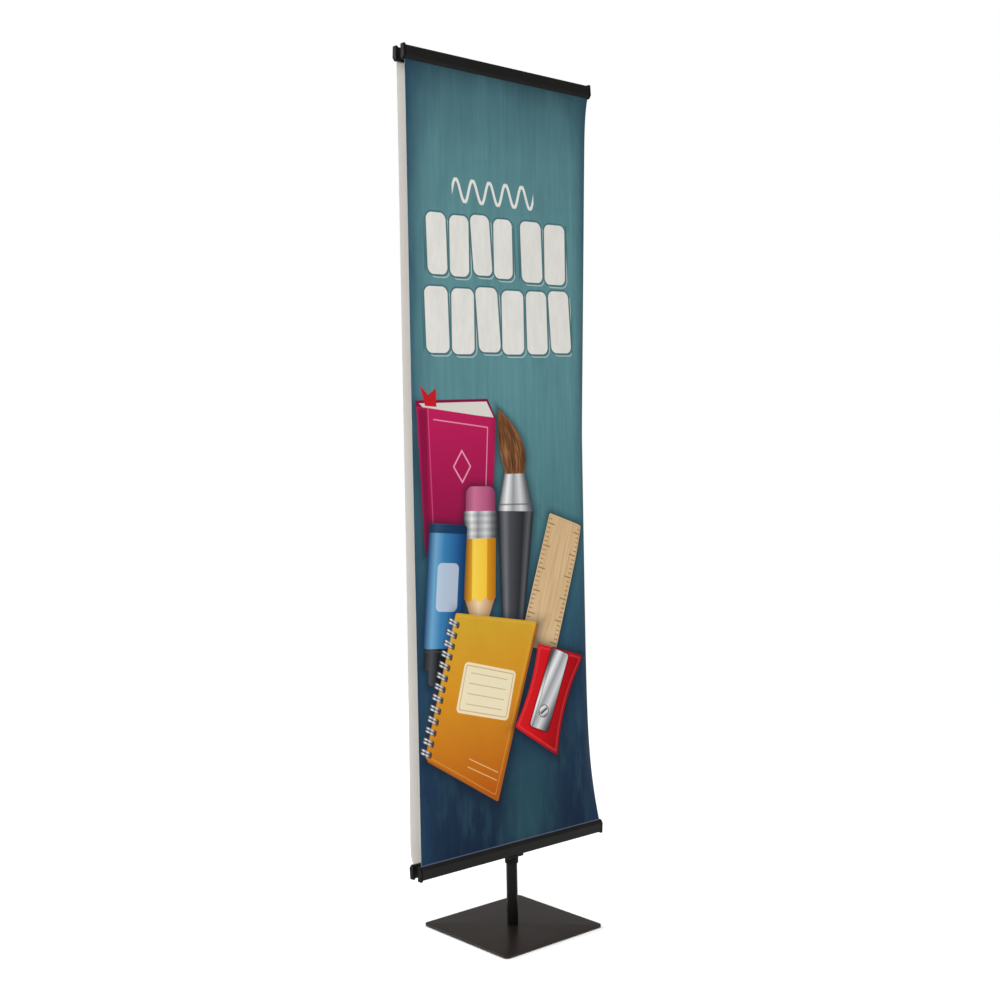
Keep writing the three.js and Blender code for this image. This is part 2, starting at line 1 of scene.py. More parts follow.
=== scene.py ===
"""A double-sided pole banner stand: a square steel base, a telescoping mast in twist collars,
and two printed banners held back to back by four snap rails.

Shapes are worked out in millimetres and become metres when their mesh is made. Every piece takes
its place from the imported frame; X runs along the rails and the front banner faces -Y.
"""
import math

import bmesh
import bpy
import numpy as np
from mathutils import Matrix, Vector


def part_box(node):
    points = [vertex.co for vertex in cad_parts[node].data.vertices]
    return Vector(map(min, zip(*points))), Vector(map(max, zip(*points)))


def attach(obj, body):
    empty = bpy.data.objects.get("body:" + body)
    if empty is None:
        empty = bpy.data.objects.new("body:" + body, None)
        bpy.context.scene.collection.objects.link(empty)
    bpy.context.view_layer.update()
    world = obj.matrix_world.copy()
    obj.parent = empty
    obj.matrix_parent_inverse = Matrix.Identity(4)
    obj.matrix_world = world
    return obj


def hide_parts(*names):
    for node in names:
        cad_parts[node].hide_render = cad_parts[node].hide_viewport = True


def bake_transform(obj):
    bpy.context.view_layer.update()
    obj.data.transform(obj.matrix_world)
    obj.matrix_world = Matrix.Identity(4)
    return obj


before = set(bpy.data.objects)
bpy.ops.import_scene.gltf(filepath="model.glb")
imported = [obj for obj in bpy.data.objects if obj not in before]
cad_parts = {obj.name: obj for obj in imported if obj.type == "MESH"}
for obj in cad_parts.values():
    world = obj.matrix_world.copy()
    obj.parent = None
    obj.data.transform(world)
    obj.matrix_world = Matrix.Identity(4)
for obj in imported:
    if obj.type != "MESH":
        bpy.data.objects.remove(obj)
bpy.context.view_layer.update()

MM = 0.001
SMOOTH_ANGLE = math.radians(38)
PRINT_MAP = "print"  # a sheet's own map, in metres from the print's top left corner
ROUND = 96  # steps round a turned piece
FIT = 0.3  # gap between two pieces that touch or turn in each other
TINY = 1e-7
SIDES = {"front": -1, "rear": 1}
LEVELS = {"top": 1, "bottom": -1}
ENDS = {"left": -1, "right": 1}


def box_mm(node):
    """The lowest and highest corners of a frame node, in millimetres."""
    low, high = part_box(node)
    return np.array(low) / MM, np.array(high) / MM


def radius_mm(node):
    """The outer radius of a frame node on the mast's axis, in millimetres."""
    return box_mm(node)[1][0]


# ---- Camera, light and floor ----

CAMERA_PLACE = (-2.2603, -2.6076, 1.2230)
CAMERA_YAW = math.radians(40.71)  # from +Y towards +X
CAMERA_PITCH = math.radians(-1.92)
CAMERA_ROLL = math.radians(-1.07)
SENSOR_WIDTH = 36
FOCAL_LENGTH = 48.42
FAR_LIMIT = 200
ROOM_LIGHT = 0.3
WHITE = (1, 1, 1, 1)
FLOOR_RADIUS = 3.4
FLOOR_SIDES = 60
SOFTBOXES = (  # name, place, the point that it faces, width and watts
    ("key_softbox", (-4.4, -3.2, 3.0), (0, 0, 1.1), 2.4, 135),
    ("back_softbox", (-2.2, 4.4, 3.0), (0, 0, 1.1), 2.4, 140),
    ("top_softbox", (0.1, 0.1, 8.0), (0, 0, 0), 6.0, 660),
)


def frame_of(x_axis, y_axis, z_axis, place):
    """The matrix whose columns are three axes and a place."""
    columns = np.column_stack([x_axis, y_axis, z_axis, place])
    return Matrix([*columns.tolist(), [0, 0, 0, 1]])


def add_object(name, data):
    made = bpy.data.objects.new(name, data)
    bpy.context.scene.collection.objects.link(made)
    return made


def add_camera():
    data = bpy.data.cameras.new("view")
    data.sensor_width = SENSOR_WIDTH
    data.lens = FOCAL_LENGTH
    data.clip_end = FAR_LIMIT
    flat = math.cos(CAMERA_PITCH)
    ahead = np.array([math.sin(CAMERA_YAW) * flat, math.cos(CAMERA_YAW) * flat, math.sin(CAMERA_PITCH)])
    right = np.array([math.cos(CAMERA_YAW), -math.sin(CAMERA_YAW), 0])
    up = np.cross(right, ahead)
    cosine, sine = math.cos(CAMERA_ROLL), math.sin(CAMERA_ROLL)
    camera = add_object("view", data)
    x_axis, y_axis = cosine * right + sine * up, cosine * up - sine * right
    camera.matrix_world = frame_of(x_axis, y_axis, -ahead, CAMERA_PLACE)
    bpy.context.scene.camera = camera


def add_softbox(name, place, target, size, power):
    """A square area light at place, turned to face target."""
    data = bpy.data.lights.new(name, "AREA")
    data.shape = "SQUARE"
    data.size = size
    data.energy = power
    lamp = add_object(name, data)
    away = np.array(place, float) - np.array(target, float)
    away /= np.linalg.norm(away)
    side = np.cross([0, 0, 1], away)
    side /= np.linalg.norm(side)
    lamp.matrix_world = frame_of(side, np.cross(away, side), away, place)


def add_studio():
    """A white room: the camera sees plain white, and softboxes and a grey room light the pieces."""
    room = Finish("studio", bpy.data.worlds)
    bpy.context.scene.world = room.owner
    light = room.node("Background", {"Color": WHITE, "Strength": ROOM_LIGHT})
    backdrop = room.node("Background", {"Color": WHITE})
    seen = room.node("LightPath", {}, output="Is Camera Ray")
    room.node("OutputWorld", {0: room.node("MixShader", {0: seen, 1: light, 2: backdrop})})
    for softbox in SOFTBOXES:
        add_softbox(*softbox)


def add_floor():
    """A round sheet of paper, large enough to fill the view below the stand."""
    mesh = bpy.data.meshes.new("studio_floor")
    rim = lifted(arc(0, 0, FLOOR_RADIUS, 0, 360 - 360 / FLOOR_SIDES, FLOOR_SIDES - 1), 0)
    mesh.from_pydata(rim.tolist(), [], [list(range(len(rim)))])
    mesh.materials.append(studio_paper())
    add_object("studio_floor", mesh)


# ---- Materials ----
# Noise scales are cells per metre, and a bump's distance is its full depth.

WARM_GLOSS = (1, 0.88, 0.8, 1)
PEEL_SCALE = 850
GRIT_SCALE = 5200
SPARK_SCALE = 3600
PORE_SCALE = 900
SPANGLE_SCALE = 1400
RUB_SHARE = 0.05  # a rub is twenty times as large as a drawing line
WEAVE_PITCH = 0.9 * MM
WEAVE_DEPTH = 0.04 * MM


def linear(red, green, blue):
    """A colour given as three display values from 0 to 255, as the linear RGBA that a shader takes."""
    display = np.array([red, green, blue]) / 255
    found = np.where(display <= 0.04045, display / 12.92, ((display + 0.055) / 1.055) ** 2.4)
    return (*found.tolist(), 1)


class Channel:
    """What one socket gives in a finish, with arithmetic that adds Math nodes."""

    def __init__(self, finish, socket):
        self.finish = finish
        self.socket = socket

    def math(self, operation, *values, clamp=False):
        return self.finish.math(operation, self, *values, clamp=clamp)

    def __add__(self, other):
        return self.math("ADD", other)

    def __sub__(self, other):
        return self.math("SUBTRACT", other)

    def __rsub__(self, other):
        return self.finish.math("SUBTRACT", other, self)

    def __mul__(self, other):
        return self.math("MULTIPLY", other)

    def __truediv__(self, other):
        return self.math("DIVIDE", other)

    def __mod__(self, other):
        return self.math("FLOORED_MODULO", other)

    def __neg__(self):
        return self.math("MULTIPLY", -1)

    def __abs__(self):
        return self.math("ABSOLUTE")

    __radd__ = __add__
    __rmul__ = __mul__

    def clamped(self):
        return self.math("ADD", 0, clamp=True)

    def either(self, other):
        return self.math("MINIMUM", other)

    def both(self, other):
        return self.math("MAXIMUM", other)


class Finish:
    """A material, or the world, whose nodes are added one at a time."""

    def __init__(self, name, kind=bpy.data.materials):
        self.owner = kind.new(name)
        self.owner.use_nodes = True
        self.tree = self.owner.node_tree
        self.tree.nodes.clear()

    def node(self, kind, sockets, output=0, stops=(), **settings):
        """Adds a node: its settings first, then a value or a Channel for each socket that is named."""
        made = self.tree.nodes.new("ShaderNode" + kind)
        for key, value in settings.items():
            setattr(made, key, value)
        if stops:
            self.set_stops(made.color_ramp, stops)
        for key, value in sockets.items():
            if isinstance(value, Channel):
                self.tree.links.new(value.socket, made.inputs[key])
            else:
                made.inputs[key].default_value = value
        return Channel(self, made.outputs[output]) if made.outputs else None

    @staticmethod
    def set_stops(ramp, stops):
        """Each stop is its place along the ramp, then three display values."""
        while len(ramp.elements) < len(stops):
            ramp.elements.new(1)
        for element, (place, *display) in zip(ramp.elements, stops):
            element.position = place
            element.color = linear(*display)

    def math(self, operation, *values, clamp=False):
        return self.node("Math", dict(enumerate(values)), operation=operation, use_clamp=clamp)

    def ramp(self, value, *stops):
        return self.node("ValToRGB", {0: value}, stops=stops)

    def object_place(self):
        return self.node("TexCoord", {}, output="Object")

    def split(self, vector):
        return [self.node("SeparateXYZ", {0: vector}, output=axis) for axis in range(2)]

    def noise(self, vector, scale, detail=2.0, roughness=0.5):
        sockets = {"Vector": vector, "Scale": scale, "Detail": detail, "Roughness": roughness}
        return self.node("TexNoise", sockets)

    def streaks(self, vector, stretch, detail=2.0, roughness=0.5, scale=1):
        """Noise on a place that is scaled first, so that it runs in lines or upright clouds."""
        place = self.node("Mapping", {"Vector": vector, "Scale": stretch})
        return self.noise(place, scale, detail, roughness)

    def mix(self, factor, under, over):
        return self.node("Mix", {0: factor, 6: under, 7: over}, output=2, data_type="RGBA")

    def shaded(self, colour, brightness):
        """A colour made lighter or darker: each of its channels times brightness."""
        parts = colour if isinstance(colour, Channel) else colour[:3]
        return self.node("VectorMath", {0: parts, "Scale": brightness}, operation="SCALE")

    def bump(self, height, strength, distance):
        return self.node("Bump", {"Height": height, "Strength": strength, "Distance": distance})

    def surface(self, **sockets):
        """Ends in a Principled surface. In a socket's name, an underscore stands for a space."""
        named = {key.replace("_", " "): value for key, value in sockets.items()}
        shader = self.node("BsdfPrincipled", named)
        self.node("OutputMaterial", {"Surface": shader})
        return self.owner


def studio_paper():
    """Seamless paper: almost white, with a faint mottle."""
    finish = Finish("studio_paper")
    mottle = finish.noise(finish.object_place(), 3)
    colour = finish.mix(mottle, linear(240, 240, 239), linear(247, 247, 246))
    return finish.surface(Base_Color=colour, Roughness=0.9, Specular_IOR_Level=0.1)


def paler(colour, times):
    """The linear colour with its three channels multiplied."""
    return (*(times * part for part in colour[:3]), 1)


def powder_coat(name, colour, roughness, gloss, tint=WHITE):
    """Baked powder: orange peel about a millimetre across, a finer grit, and faint handling marks."""
    finish = Finish(name)
    place = finish.object_place()
    peel = finish.noise(place, PEEL_SCALE, 1)
    grit = finish.noise(place, GRIT_SCALE, 2)
    marks = finish.streaks(place, (1, 2.4, 1), 5, 0.62, 16)
    dust = (marks * 3.2 - 1.75).clamped()
    shade = finish.mix(grit, colour, paler(colour, 1.5))
    dusted = finish.mix(dust * 0.04, shade, linear(120, 116, 110))
    rough = roughness + (marks - 0.5) * 0.14 + dust * 0.05
    relief = finish.bump(peel + grit * 0.35, 0.22, 0.06 * MM)
    return finish.surface(
        Base_Color=dusted, Roughness=rough, Normal=relief, Specular_IOR_Level=gloss, Specular_Tint=tint
    )


def satin_metal(name, colour, roughness, gloss, grain):
    """Satin black on a drawn part: fine lines along it, slightly uneven gloss, and pale rubs."""
    finish = Finish(name)
    place = finish.object_place()
    lines = finish.streaks(place, grain, 3, 0.6)
    cloud = finish.noise(place, 22, 3)
    rubs = (finish.streaks(place, tuple(scale * RUB_SHARE for scale in grain), 4) * 4 - 2.5).clamped()
    shade = finish.mix(cloud, colour, paler(colour, 1.45))
    worn = finish.mix(rubs * 0.12, shade, linear(96, 98, 102))
    rough = roughness + (lines - 0.5) * 0.14 + (cloud - 0.5) * 0.08
    relief = finish.bump(lines, 0.18, 0.03 * MM)
    return finish.surface(Base_Color=worn, Roughness=rough, Normal=relief, Specular_IOR_Level=gloss)


def moulded_plastic(name, colour, roughness):
    """Black moulded plastic with a fine spark-eroded texture and slightly paler worn patches."""
    finish = Finish(name)
    place = finish.object_place()
    texture = finish.noise(place, SPARK_SCALE, 2, 0.7)
    flow = finish.noise(place, 60, 3)
    shade = finish.mix(flow, colour, paler(colour, 1.6))
    rough = roughness + (flow - 0.5) * 0.18 + (texture - 0.5) * 0.1
    relief = finish.bump(texture, 0.3, 0.04 * MM)
    return finish.surface(Base_Color=shade, Roughness=rough, Normal=relief, Specular_IOR_Level=0.08)


def moulded_rubber():
    finish = Finish("foot_rubber")
    place = finish.object_place()
    bloom = finish.noise(place, 140, 4, 0.6)
    pores = finish.node("TexVoronoi", {"Vector": place, "Scale": PORE_SCALE})
    shade = finish.mix(bloom, linear(20, 20, 20), linear(52, 51, 50))
    relief = finish.bump(pores, 0.3, 0.08 * MM)
    return finish.surface(Base_Color=shade, Roughness=0.8 + bloom * 0.15, Normal=relief)


def zinc_plate():
    """Bright zinc: a fine crystal spangle and dull smears."""
    finish = Finish("zinc_plate")
    place = finish.object_place()
    spangle = finish.node("TexVoronoi", {"Vector": place, "Scale": SPANGLE_SCALE}, output="Color")
    smear = finish.noise(place, 180, 4, 0.6)
    light = finish.mix(smear, linear(176, 178, 182), linear(205, 204, 198))
    shade = finish.mix(0.06, light, spangle)
    relief = finish.bump(smear, 0.15, 0.03 * MM)
    rough = 0.24 + smear * 0.22
    return finish.surface(Base_Color=shade, Metallic=1.0, Roughness=rough, Normal=relief)


def weave(finish, place, strength):
    """Relief of a plain weave in the sheet's own plane: two crossed sine ribs, one over the other."""
    x, y = finish.split(place)
    turns = 2 * math.pi / WEAVE_PITCH
    warp = (x * turns).math("SINE")
    weft = (y * turns).math("SINE")
    return finish.bump(warp.both(weft), strength, WEAVE_DEPTH)


def unprinted_film():
    """The plain back of the print: warm white, matt, with a faint weave and soft handling clouds."""
    finish = Finish("unprinted_film")
    place = finish.node("UVMap", {}, uv_map=PRINT_MAP)
    clouds = finish.streaks(place, (6, 2, 1), 4)
    shade = finish.mix(clouds, linear(220, 217, 212), linear(235, 232, 228))
    relief = weave(finish, place, 0.2)
    rough = 0.55 + clouds * 0.2
    return finish.surface(Base_Color=shade, Roughness=rough, Normal=relief, Specular_IOR_Level=0.3)


# ---- The banner's picture ----
# Plain school things under rows of chalk blocks, in millimetres from the picture's top left corner.
# X runs to the right and Y down, and a positive turn is clockwise.

PICTURE_WIDTH = 610
PICTURE_HEIGHT = 1948
INK_BLUR = 1.4
FOOT_HIGHLIGHT = 2.6  # height of a pale lilac line painted along the foot of the print, a painted highlight where the sheet meets the bottom rail
NIGHT = linear(10, 24, 38)
CHALK = (236, 234, 228)
SILVER = ((0.0, 70, 72, 76), (0.22, 238, 239, 240), (0.42, 150, 152, 156),
          (0.66, 214, 215, 217), (0.86, 120, 121, 125), (1.0, 58, 58, 62))


class Picture(Finish):
    """Coloured shapes laid over each other. A shape is its signed distance, negative inside."""

    def __init__(self, name):
        super().__init__(name)
        self.sheet = self.node("UVMap", {}, uv_map=PRINT_MAP)
        self.place = self.node("VectorMath", {0: self.sheet, "Scale": 1 / MM}, operation="SCALE")
        self.colour = None

    def local(self, x, y, turn=0):
        """The place measured from a point and along axes turned by some degrees."""
        sockets = {"Vector": self.place, "Location": (x, y, 0), "Rotation": (0, 0, math.radians(turn))}
        return self.node("Mapping", sockets, vector_type="TEXTURE")

    def outline(self, place, corners, rounding=0):
        """Distance to a convex outline given clockwise: the largest of the distances to its edges."""
        found = None
        for (x, y), (x_next, y_next) in zip(corners, corners[1:] + corners[:1]):
            length = math.hypot(x_next - x, y_next - y)
            normal = ((y_next - y) / length, (x - x_next) / length, 0)
            along = self.node("VectorMath", {0: place, 1: normal}, output=1, operation="DOT_PRODUCT")
            edge = along - (normal[0] * x + normal[1] * y)
            if found is None:
                found = edge
            elif rounding:
                found = found.math("SMOOTH_MAX", edge, rounding)
            else:
                found = found.both(edge)
        return found

    def block(self, x, y, width, height, rounding):
        """Distance to a rounded rectangle: how far past its inner box, less the rounding."""
        out_x = (abs(x) - (width / 2 - rounding)).both(0)
        out_y = (abs(y) - (height / 2 - rounding)).both(0)
        return (out_x * out_x + out_y * out_y).math("SQRT") - rounding

    def cover(self, distance, blur=INK_BLUR):
        return self.math("MULTIPLY_ADD", distance, -1 / blur, 0.5, clamp=True)

    def lay(self, distance, colour, opacity=1, blur=INK_BLUR):
        """Fills a shape with a Channel's colour, or with three display values."""
        share = self.cover(distance, blur)
        if opacity != 1:
            share = share * opacity
        ink = colour if isinstance(colour, Channel) else linear(*colour)
        self.colour = self.mix(share, self.colour, ink)

    def shadow(self, distance, reach=30, depth=0.62):
        """A soft shadow round a shape: full at its edge, nothing at its reach."""
        fade = self.math("MULTIPLY_ADD", distance, -1 / reach, 1, clamp=True)
        self.colour = self.mix(fade * fade * depth, self.colour, NIGHT)

    def across(self, x, half):
        """0 at a shape's left edge and 1 at its right edge."""
        return self.math("MULTIPLY_ADD", x / half, 0.5, 0.5)


def chalkboard(art):
    """A teal board: pale in its upper middle, dark blue at its foot and edges, and streaked upright."""
    x, y = art.split(art.place)
    down = y / PICTURE_HEIGHT
    clouds = art.streaks(art.place, (0.006, 0.0022, 1), 4, 0.55)
    streaks = art.streaks(art.place, (0.075, 0.0035, 1), 5, 0.66)
    stops = [(0.0, 58, 90, 100), (0.03, 75, 114, 122), (0.1, 88, 133, 139),
             (0.2, 95, 142, 147), (0.4, 93, 141, 147), (0.56, 78, 124, 131),
             (0.68, 52, 92, 110), (0.8, 30, 56, 80), (1.0, 18, 37, 60)]
    tone = art.ramp(down + (clouds - 0.5) * 0.08, *stops)
    patches = art.streaks(art.place, (0.02, 0.005, 1), 5, 0.62)
    chalky = art.mix((patches * 3 - 1.45).clamped() * 0.4, tone, linear(62, 108, 114))
    streaked = art.shaded(chalky, 0.68 + streaks * 0.52 + clouds * 0.16)
    edge = (PICTURE_WIDTH / 2 - abs(x - PICTURE_WIDTH / 2)) / 95
    shade = (1 - edge - (clouds - 0.5) * 0.9).clamped()
    return art.mix(shade * shade * 0.75, streaked, linear(30, 60, 88))


def chalk_rows(art):
    """A wavy line over two rows of tall blocks, each row with a thin outline set off behind it."""
    grain = art.streaks(art.place, (0.05, 0.012, 1), 4, 0.7)
    x, y = art.split(art.local(272, 292, -1))
    turns = 2 * math.pi / 54
    wave = abs(y - (x * turns).math("SINE") * 26)
    slope = (x * turns).math("COSINE") * (26 * turns)
    line = (wave / (slope * slope + 1).math("SQRT") - 4).both(abs(x) - 135)
    art.lay(line, CHALK, 0.95)
    rows = [((193, 428), 286, 4, 150), ((438, 426), 166, 2, 156), ((288, 611), 494, 6, 162)]
    for (middle_x, middle_y), width, count, height in rows:
        step = width / count
        for offset, hollow in ((7, True), (0, False)):
            x, y = art.split(art.local(middle_x + offset, middle_y + offset, -1.5))
            along = x + width / 2
            number = (along / step).math("FLOOR")
            sway = (number * 2.3).math("SINE") * 0.8
            cell = along - number * step - step / 2
            blocks = art.block(cell + y * sway * 0.05, y - sway * 4, step - 10, height, 18)
            blocks = blocks.both(abs(x) - width / 2)
            if hollow:
                art.lay(abs(blocks) - 1.1, CHALK, 0.6)
            else:
                art.lay(blocks - 4.5, (72, 112, 119))
                art.lay(blocks, art.shaded(linear(*CHALK), 0.8 + grain * 0.28))


def book(art):
    """A closed book standing up, its page block and a ribbon showing over the cover."""
    place = art.local(0, -24)
    x, y = art.split(place)
    cover = art.outline(place, [(14, 852), (266, 880), (246, 1196), (32, 1210)], 6)
    art.shadow(cover, 36)
    art.lay(art.outline(place, [(10, 838), (240, 831), (268, 882), (16, 864)]), (128, 18, 62))
    pages = art.outline(place, [(22, 845), (236, 838), (260, 878), (40, 860)])
    leaves = (y * 1.9 - x * 0.1).math("SINE") * 0.05
    art.lay(pages, art.shaded(linear(232, 228, 220), 0.92 + leaves - (260 - x) * 0.0004))
    tall = (y - 850) / 350
    cloth = art.mix(tall, linear(192, 30, 90), linear(134, 14, 64))
    art.lay(cover, cloth)
    art.lay((cover + 4).both(x - 46), (120, 12, 56), 0.75, 8)
    art.lay(abs(x - 48 - tall * 12).both(cover) - 1.6, (232, 96, 148), 0.5)
    art.lay(abs(cover + 26).both(66 - x) - 1.5, (244, 170, 196), 0.7)
    diamond = art.outline(place, [(152, 950), (186, 1000), (152, 1050), (118, 1000)], 4)
    art.lay(abs(diamond + 6) - 2, (244, 170, 196), 0.8)
    ribbon = art.outline(place, [(25, 798), (74, 805), (75, 853), (40, 851)])
    notch = art.outline(place, [(14, 790), (84, 800), (50, 824)])
    art.lay(ribbon.both(-notch), (196, 28, 40))


def paint_brush(art):
    """A round brush, bristles up: a leaning flame of hair, a tapered ferrule and a dark handle."""
    x, y = art.split(art.place)
    handle = art.outline(art.place, [(266, 1089), (388, 1097), (344, 1420), (276, 1420)], 8)
    ferrule = art.outline(art.place, [(292, 988), (360, 990), (388, 1097), (266, 1091)], 3)
    rise = (996 - y) / 164
    lean = x - (326 - rise * rise * 50)
    half = 31 + rise * 62 - rise * rise * 93
    hair = (abs(lean) - half).both(y - 998)
    art.shadow(ferrule.either(handle).either(hair), 34)
    width = art.math("MULTIPLY_ADD", y, -0.083, 152)
    side = art.across(x - 327 + (y - 1096) * 0.052, width)
    stops = [(0, 24, 24, 26), (0.2, 112, 114, 120), (0.34, 74, 76, 81),
             (0.72, 42, 43, 47), (0.88, 90, 92, 98), (1, 22, 22, 24)]
    art.lay(handle, art.ramp(side, *stops))
    spread = art.math("MULTIPLY_ADD", y, 0.257, -220)
    tube = art.across(x - 327, spread)
    art.lay(ferrule, art.ramp(tube, *SILVER))
    art.lay(abs(y - 1070 - x * 0.02) - 2.2 + (ferrule.both(0)) * 9, (90, 92, 96), 0.7)
    combed = art.node("CombineXYZ", {0: lean / half.both(6), 1: y * 0.012})
    strands = art.streaks(combed, (5, 1, 1), 3, 0.6)
    brown = art.ramp(strands, (0.3, 60, 34, 20), (0.52, 128, 82, 50), (0.72, 186, 134, 88))
    art.lay(hair, brown)
    art.lay((hair + 9).both(1 - rise * 4), (52, 30, 20), 0.35, 16)


def pencil(art):
    """A stubby pencil, point down, behind the notebook."""
    place = art.local(206, 1194, 2)
    x, y = art.split(place)
    side = art.across(x, 54)
    rubber = art.block(x, y + 122, 98, 90, 22)
    ferrule = art.block(x, y + 68, 112, 74, 8)
    wood = art.outline(place, [(-52, 110), (52, 110), (10, 214), (-10, 214)])
    body = art.block(x, y - 44, 104, 160, 3)
    art.shadow(rubber.either(ferrule).either(wood).either(body), 30)
    pink = art.ramp(side, (0, 132, 58, 90), (0.3, 205, 116, 150), (0.7, 182, 88, 128), (1, 110, 42, 74))
    art.lay(rubber, pink)
    ribs = (y * (2 * math.pi / 18)).math("SINE") * 0.13
    art.lay(ferrule, art.shaded(art.ramp(side, *SILVER), 0.92 + ribs))
    art.lay(wood, art.ramp(side, (0.1, 196, 148, 100), (0.45, 246, 214, 172), (0.9, 176, 126, 82)))
    scallop = abs((x * (math.pi / 37)).math("COSINE")) * 10
    paint = body.both(y - 112 - scallop)
    facets = [(0, 186, 120, 20), (0.24, 224, 160, 34), (0.26, 252, 214, 84),
              (0.7, 248, 200, 62), (0.72, 214, 146, 30), (1, 170, 104, 18)]
    art.lay(paint, art.ramp(side, *facets))


def ruler(art):
    """A wooden ruler with a row of ticks down each long edge."""
    place = art.local(450, 1290, 18.4)
    x, y = art.split(place)
    body = art.block(x, y, 128, 350, 5)
    art.shadow(body, 30)
    grain = art.streaks(place, (0.12, 0.006, 1), 4, 0.6)
    wood = art.ramp(grain, (0.25, 202, 162, 116), (0.5, 226, 194, 148), (0.75, 238, 210, 170))
    art.lay(body, wood)
    inward = 64 - abs(x)
    small = (abs(y % 12 - 6) - 1).both(inward - 15)
    large = (abs(y % 60 - 30) - 1.3).both(inward - 27)
    art.lay(small.either(large).both(body + 3), (92, 60, 34), 0.85)
    art.lay(abs(body + 4) - 0.8, (150, 108, 66), 0.6)


def marker(art):
    """A broad blue marker with a black cap at its foot."""
    x, y = art.split(art.local(86, 1342, 5))
    barrel = art.block(x, y + 72, 118, 306, 10)
    cap = art.block(x, y - 98, 110, 72, 10).either(art.block(x, y - 142, 78, 60, 12))
    art.shadow(barrel.either(cap), 30)
    side = art.across(x, 59)
    black = art.ramp(side, (0, 8, 8, 9), (0.22, 74, 76, 80), (0.4, 26, 26, 28), (1, 10, 10, 11))
    art.lay(cap, black)
    art.lay(abs(y - 88) - 1.6 + cap.both(0) * 9, (70, 72, 76), 0.6)
    blue = art.ramp(side, (0, 16, 58, 104), (0.2, 110, 166, 204), (0.42, 58, 126, 176),
                        (0.8, 28, 84, 138), (1, 14, 50, 92))
    art.lay(barrel, blue)
    art.lay((abs(y + 214) - 11).both(barrel), (14, 40, 70), 0.85)
    art.lay(art.block(x - 6, y + 70, 66, 120, 14), (236, 242, 246), 0.5)


def notebook(art):
    """A spiral notebook: an orange cover with a blank label, and wire rings down its left edge."""
    corners = [(123, 1338), (393, 1385), (244, 1824), (19, 1684)]
    leaves = [(x + 5, y + 9) for x, y in corners]
    art.shadow(art.outline(art.place, leaves, 10), 44, 0.7)
    art.lay(art.outline(art.place, leaves, 10), (168, 92, 30))
    cover = art.outline(art.place, corners, 10)
    y = art.split(art.place)[1]
    orange = art.ramp((y - 1338) / 480, (0, 208, 166, 48), (0.4, 212, 144, 34), (1, 180, 84, 12))
    grain = art.streaks(art.place, (0.02, 0.02, 1), 5, 0.65)
    art.lay(cover, art.shaded(orange, 0.93 + grain * 0.14))
    art.lay(abs(cover + 7) - 1, (232, 186, 92), 0.4)
    x, y = art.split(art.local(218, 1546, 15))
    label = art.block(x, y, 176, 128, 12)
    art.lay(label, (236, 224, 190))
    art.lay(abs(label + 8) - 1.2, (206, 142, 60), 0.8)
    rules = (abs(y % 26 - 13) - 1).both(abs(x) - 62).both(abs(y) - 44)
    art.lay(rules, (190, 150, 96), 0.8)
    rules = (abs(abs(y - x * 0.23 - 186) - 10) - 1.1).both(abs(x - 34) - 52)
    art.lay(rules, (236, 204, 140), 0.8)
    x, y = art.split(art.local(123, 1338, 16.7))
    pitch = 27
    row = (y - x * 0.2 - 12) % pitch - pitch / 2
    span = (abs(y - 187.5) - 175.5).both(0)
    hole = art.block(x - 13, row, 12, 15, 4) + span * 9
    art.lay(hole, (50, 30, 18), 0.9)
    wires = (abs(abs(row) - 4) - 2.2).both(abs(x + 1) - 17) + span * 9
    art.lay(wires - 1, (60, 56, 54), 0.9)
    art.lay(wires, art.ramp(art.across(x + 1, 16), *SILVER))


def sharpener(art):
    """A red pencil sharpener, narrow at its waist, with a steel blade and its screw."""
    x, y = art.split(art.local(429, 1582, 22.6))
    reach = y / 124
    waist = abs(x) - (70 + reach * reach * 16)
    ends = (-y - x * 0.1).both(y - x * 0.2) - 124
    body = waist.math("SMOOTH_MAX", ends, 10)
    art.shadow(body, 36, 0.7)
    red = art.ramp(art.across(x, 90), (0.05, 210, 26, 34), (0.4, 204, 8, 20), (0.95, 150, 2, 14))
    art.lay(body, red)
    art.lay(abs(body + 8) - 2.2, (236, 84, 84), 0.35, 4)
    blade = art.block(x, y + 14, 66, 212, 9)
    art.lay(blade - 4, (110, 8, 16), 0.8)
    art.lay(blade, art.ramp(art.across(x + y * 0.2, 46), *SILVER))
    art.lay(abs(x + 24) - 1.4 + blade.both(0) * 9, (96, 98, 102), 0.7)
    distance = (x * x + (y - 44) * (y - 44)).math("SQRT")
    art.lay(distance - 17, (70, 71, 74))
    art.lay(distance - 15, art.ramp(art.across(x + y - 44, 26), *SILVER))
    slot = (abs(x * 0.8 + (y - 44) * 0.6) - 2.2).both(distance - 12)
    art.lay(slot, (50, 50, 54))


def printed_film():
    """The printed face: the picture's ink on matt film with a faint weave."""
    art = Picture("printed_film")
    art.colour = chalkboard(art)
    x, y = art.split(art.place)
    # A soft teal patch in the dark foot, then a painted highlight: a pale lilac line along the foot, where
    # the sheet enters the bottom rail.
    art.lay(art.block(x - 355, y - 1840, 150, 260, 60), (46, 88, 98), 0.5, 100)
    art.lay(PICTURE_HEIGHT - FOOT_HIGHLIGHT - y, (112, 114, 146), 0.7)
    for paint in (chalk_rows, book, paint_brush, pencil, ruler, marker, notebook, sharpener):
        paint(art)
    clouds = art.streaks(art.place, (0.01, 0.004, 1), 3)
    relief = weave(art, art.sheet, 0.18)
    rough = 0.55 + clouds * 0.16
    return art.surface(Base_Color=art.colour, Roughness=rough, Normal=relief, Specular_IOR_Level=0.08)


# ---- Meshes ----


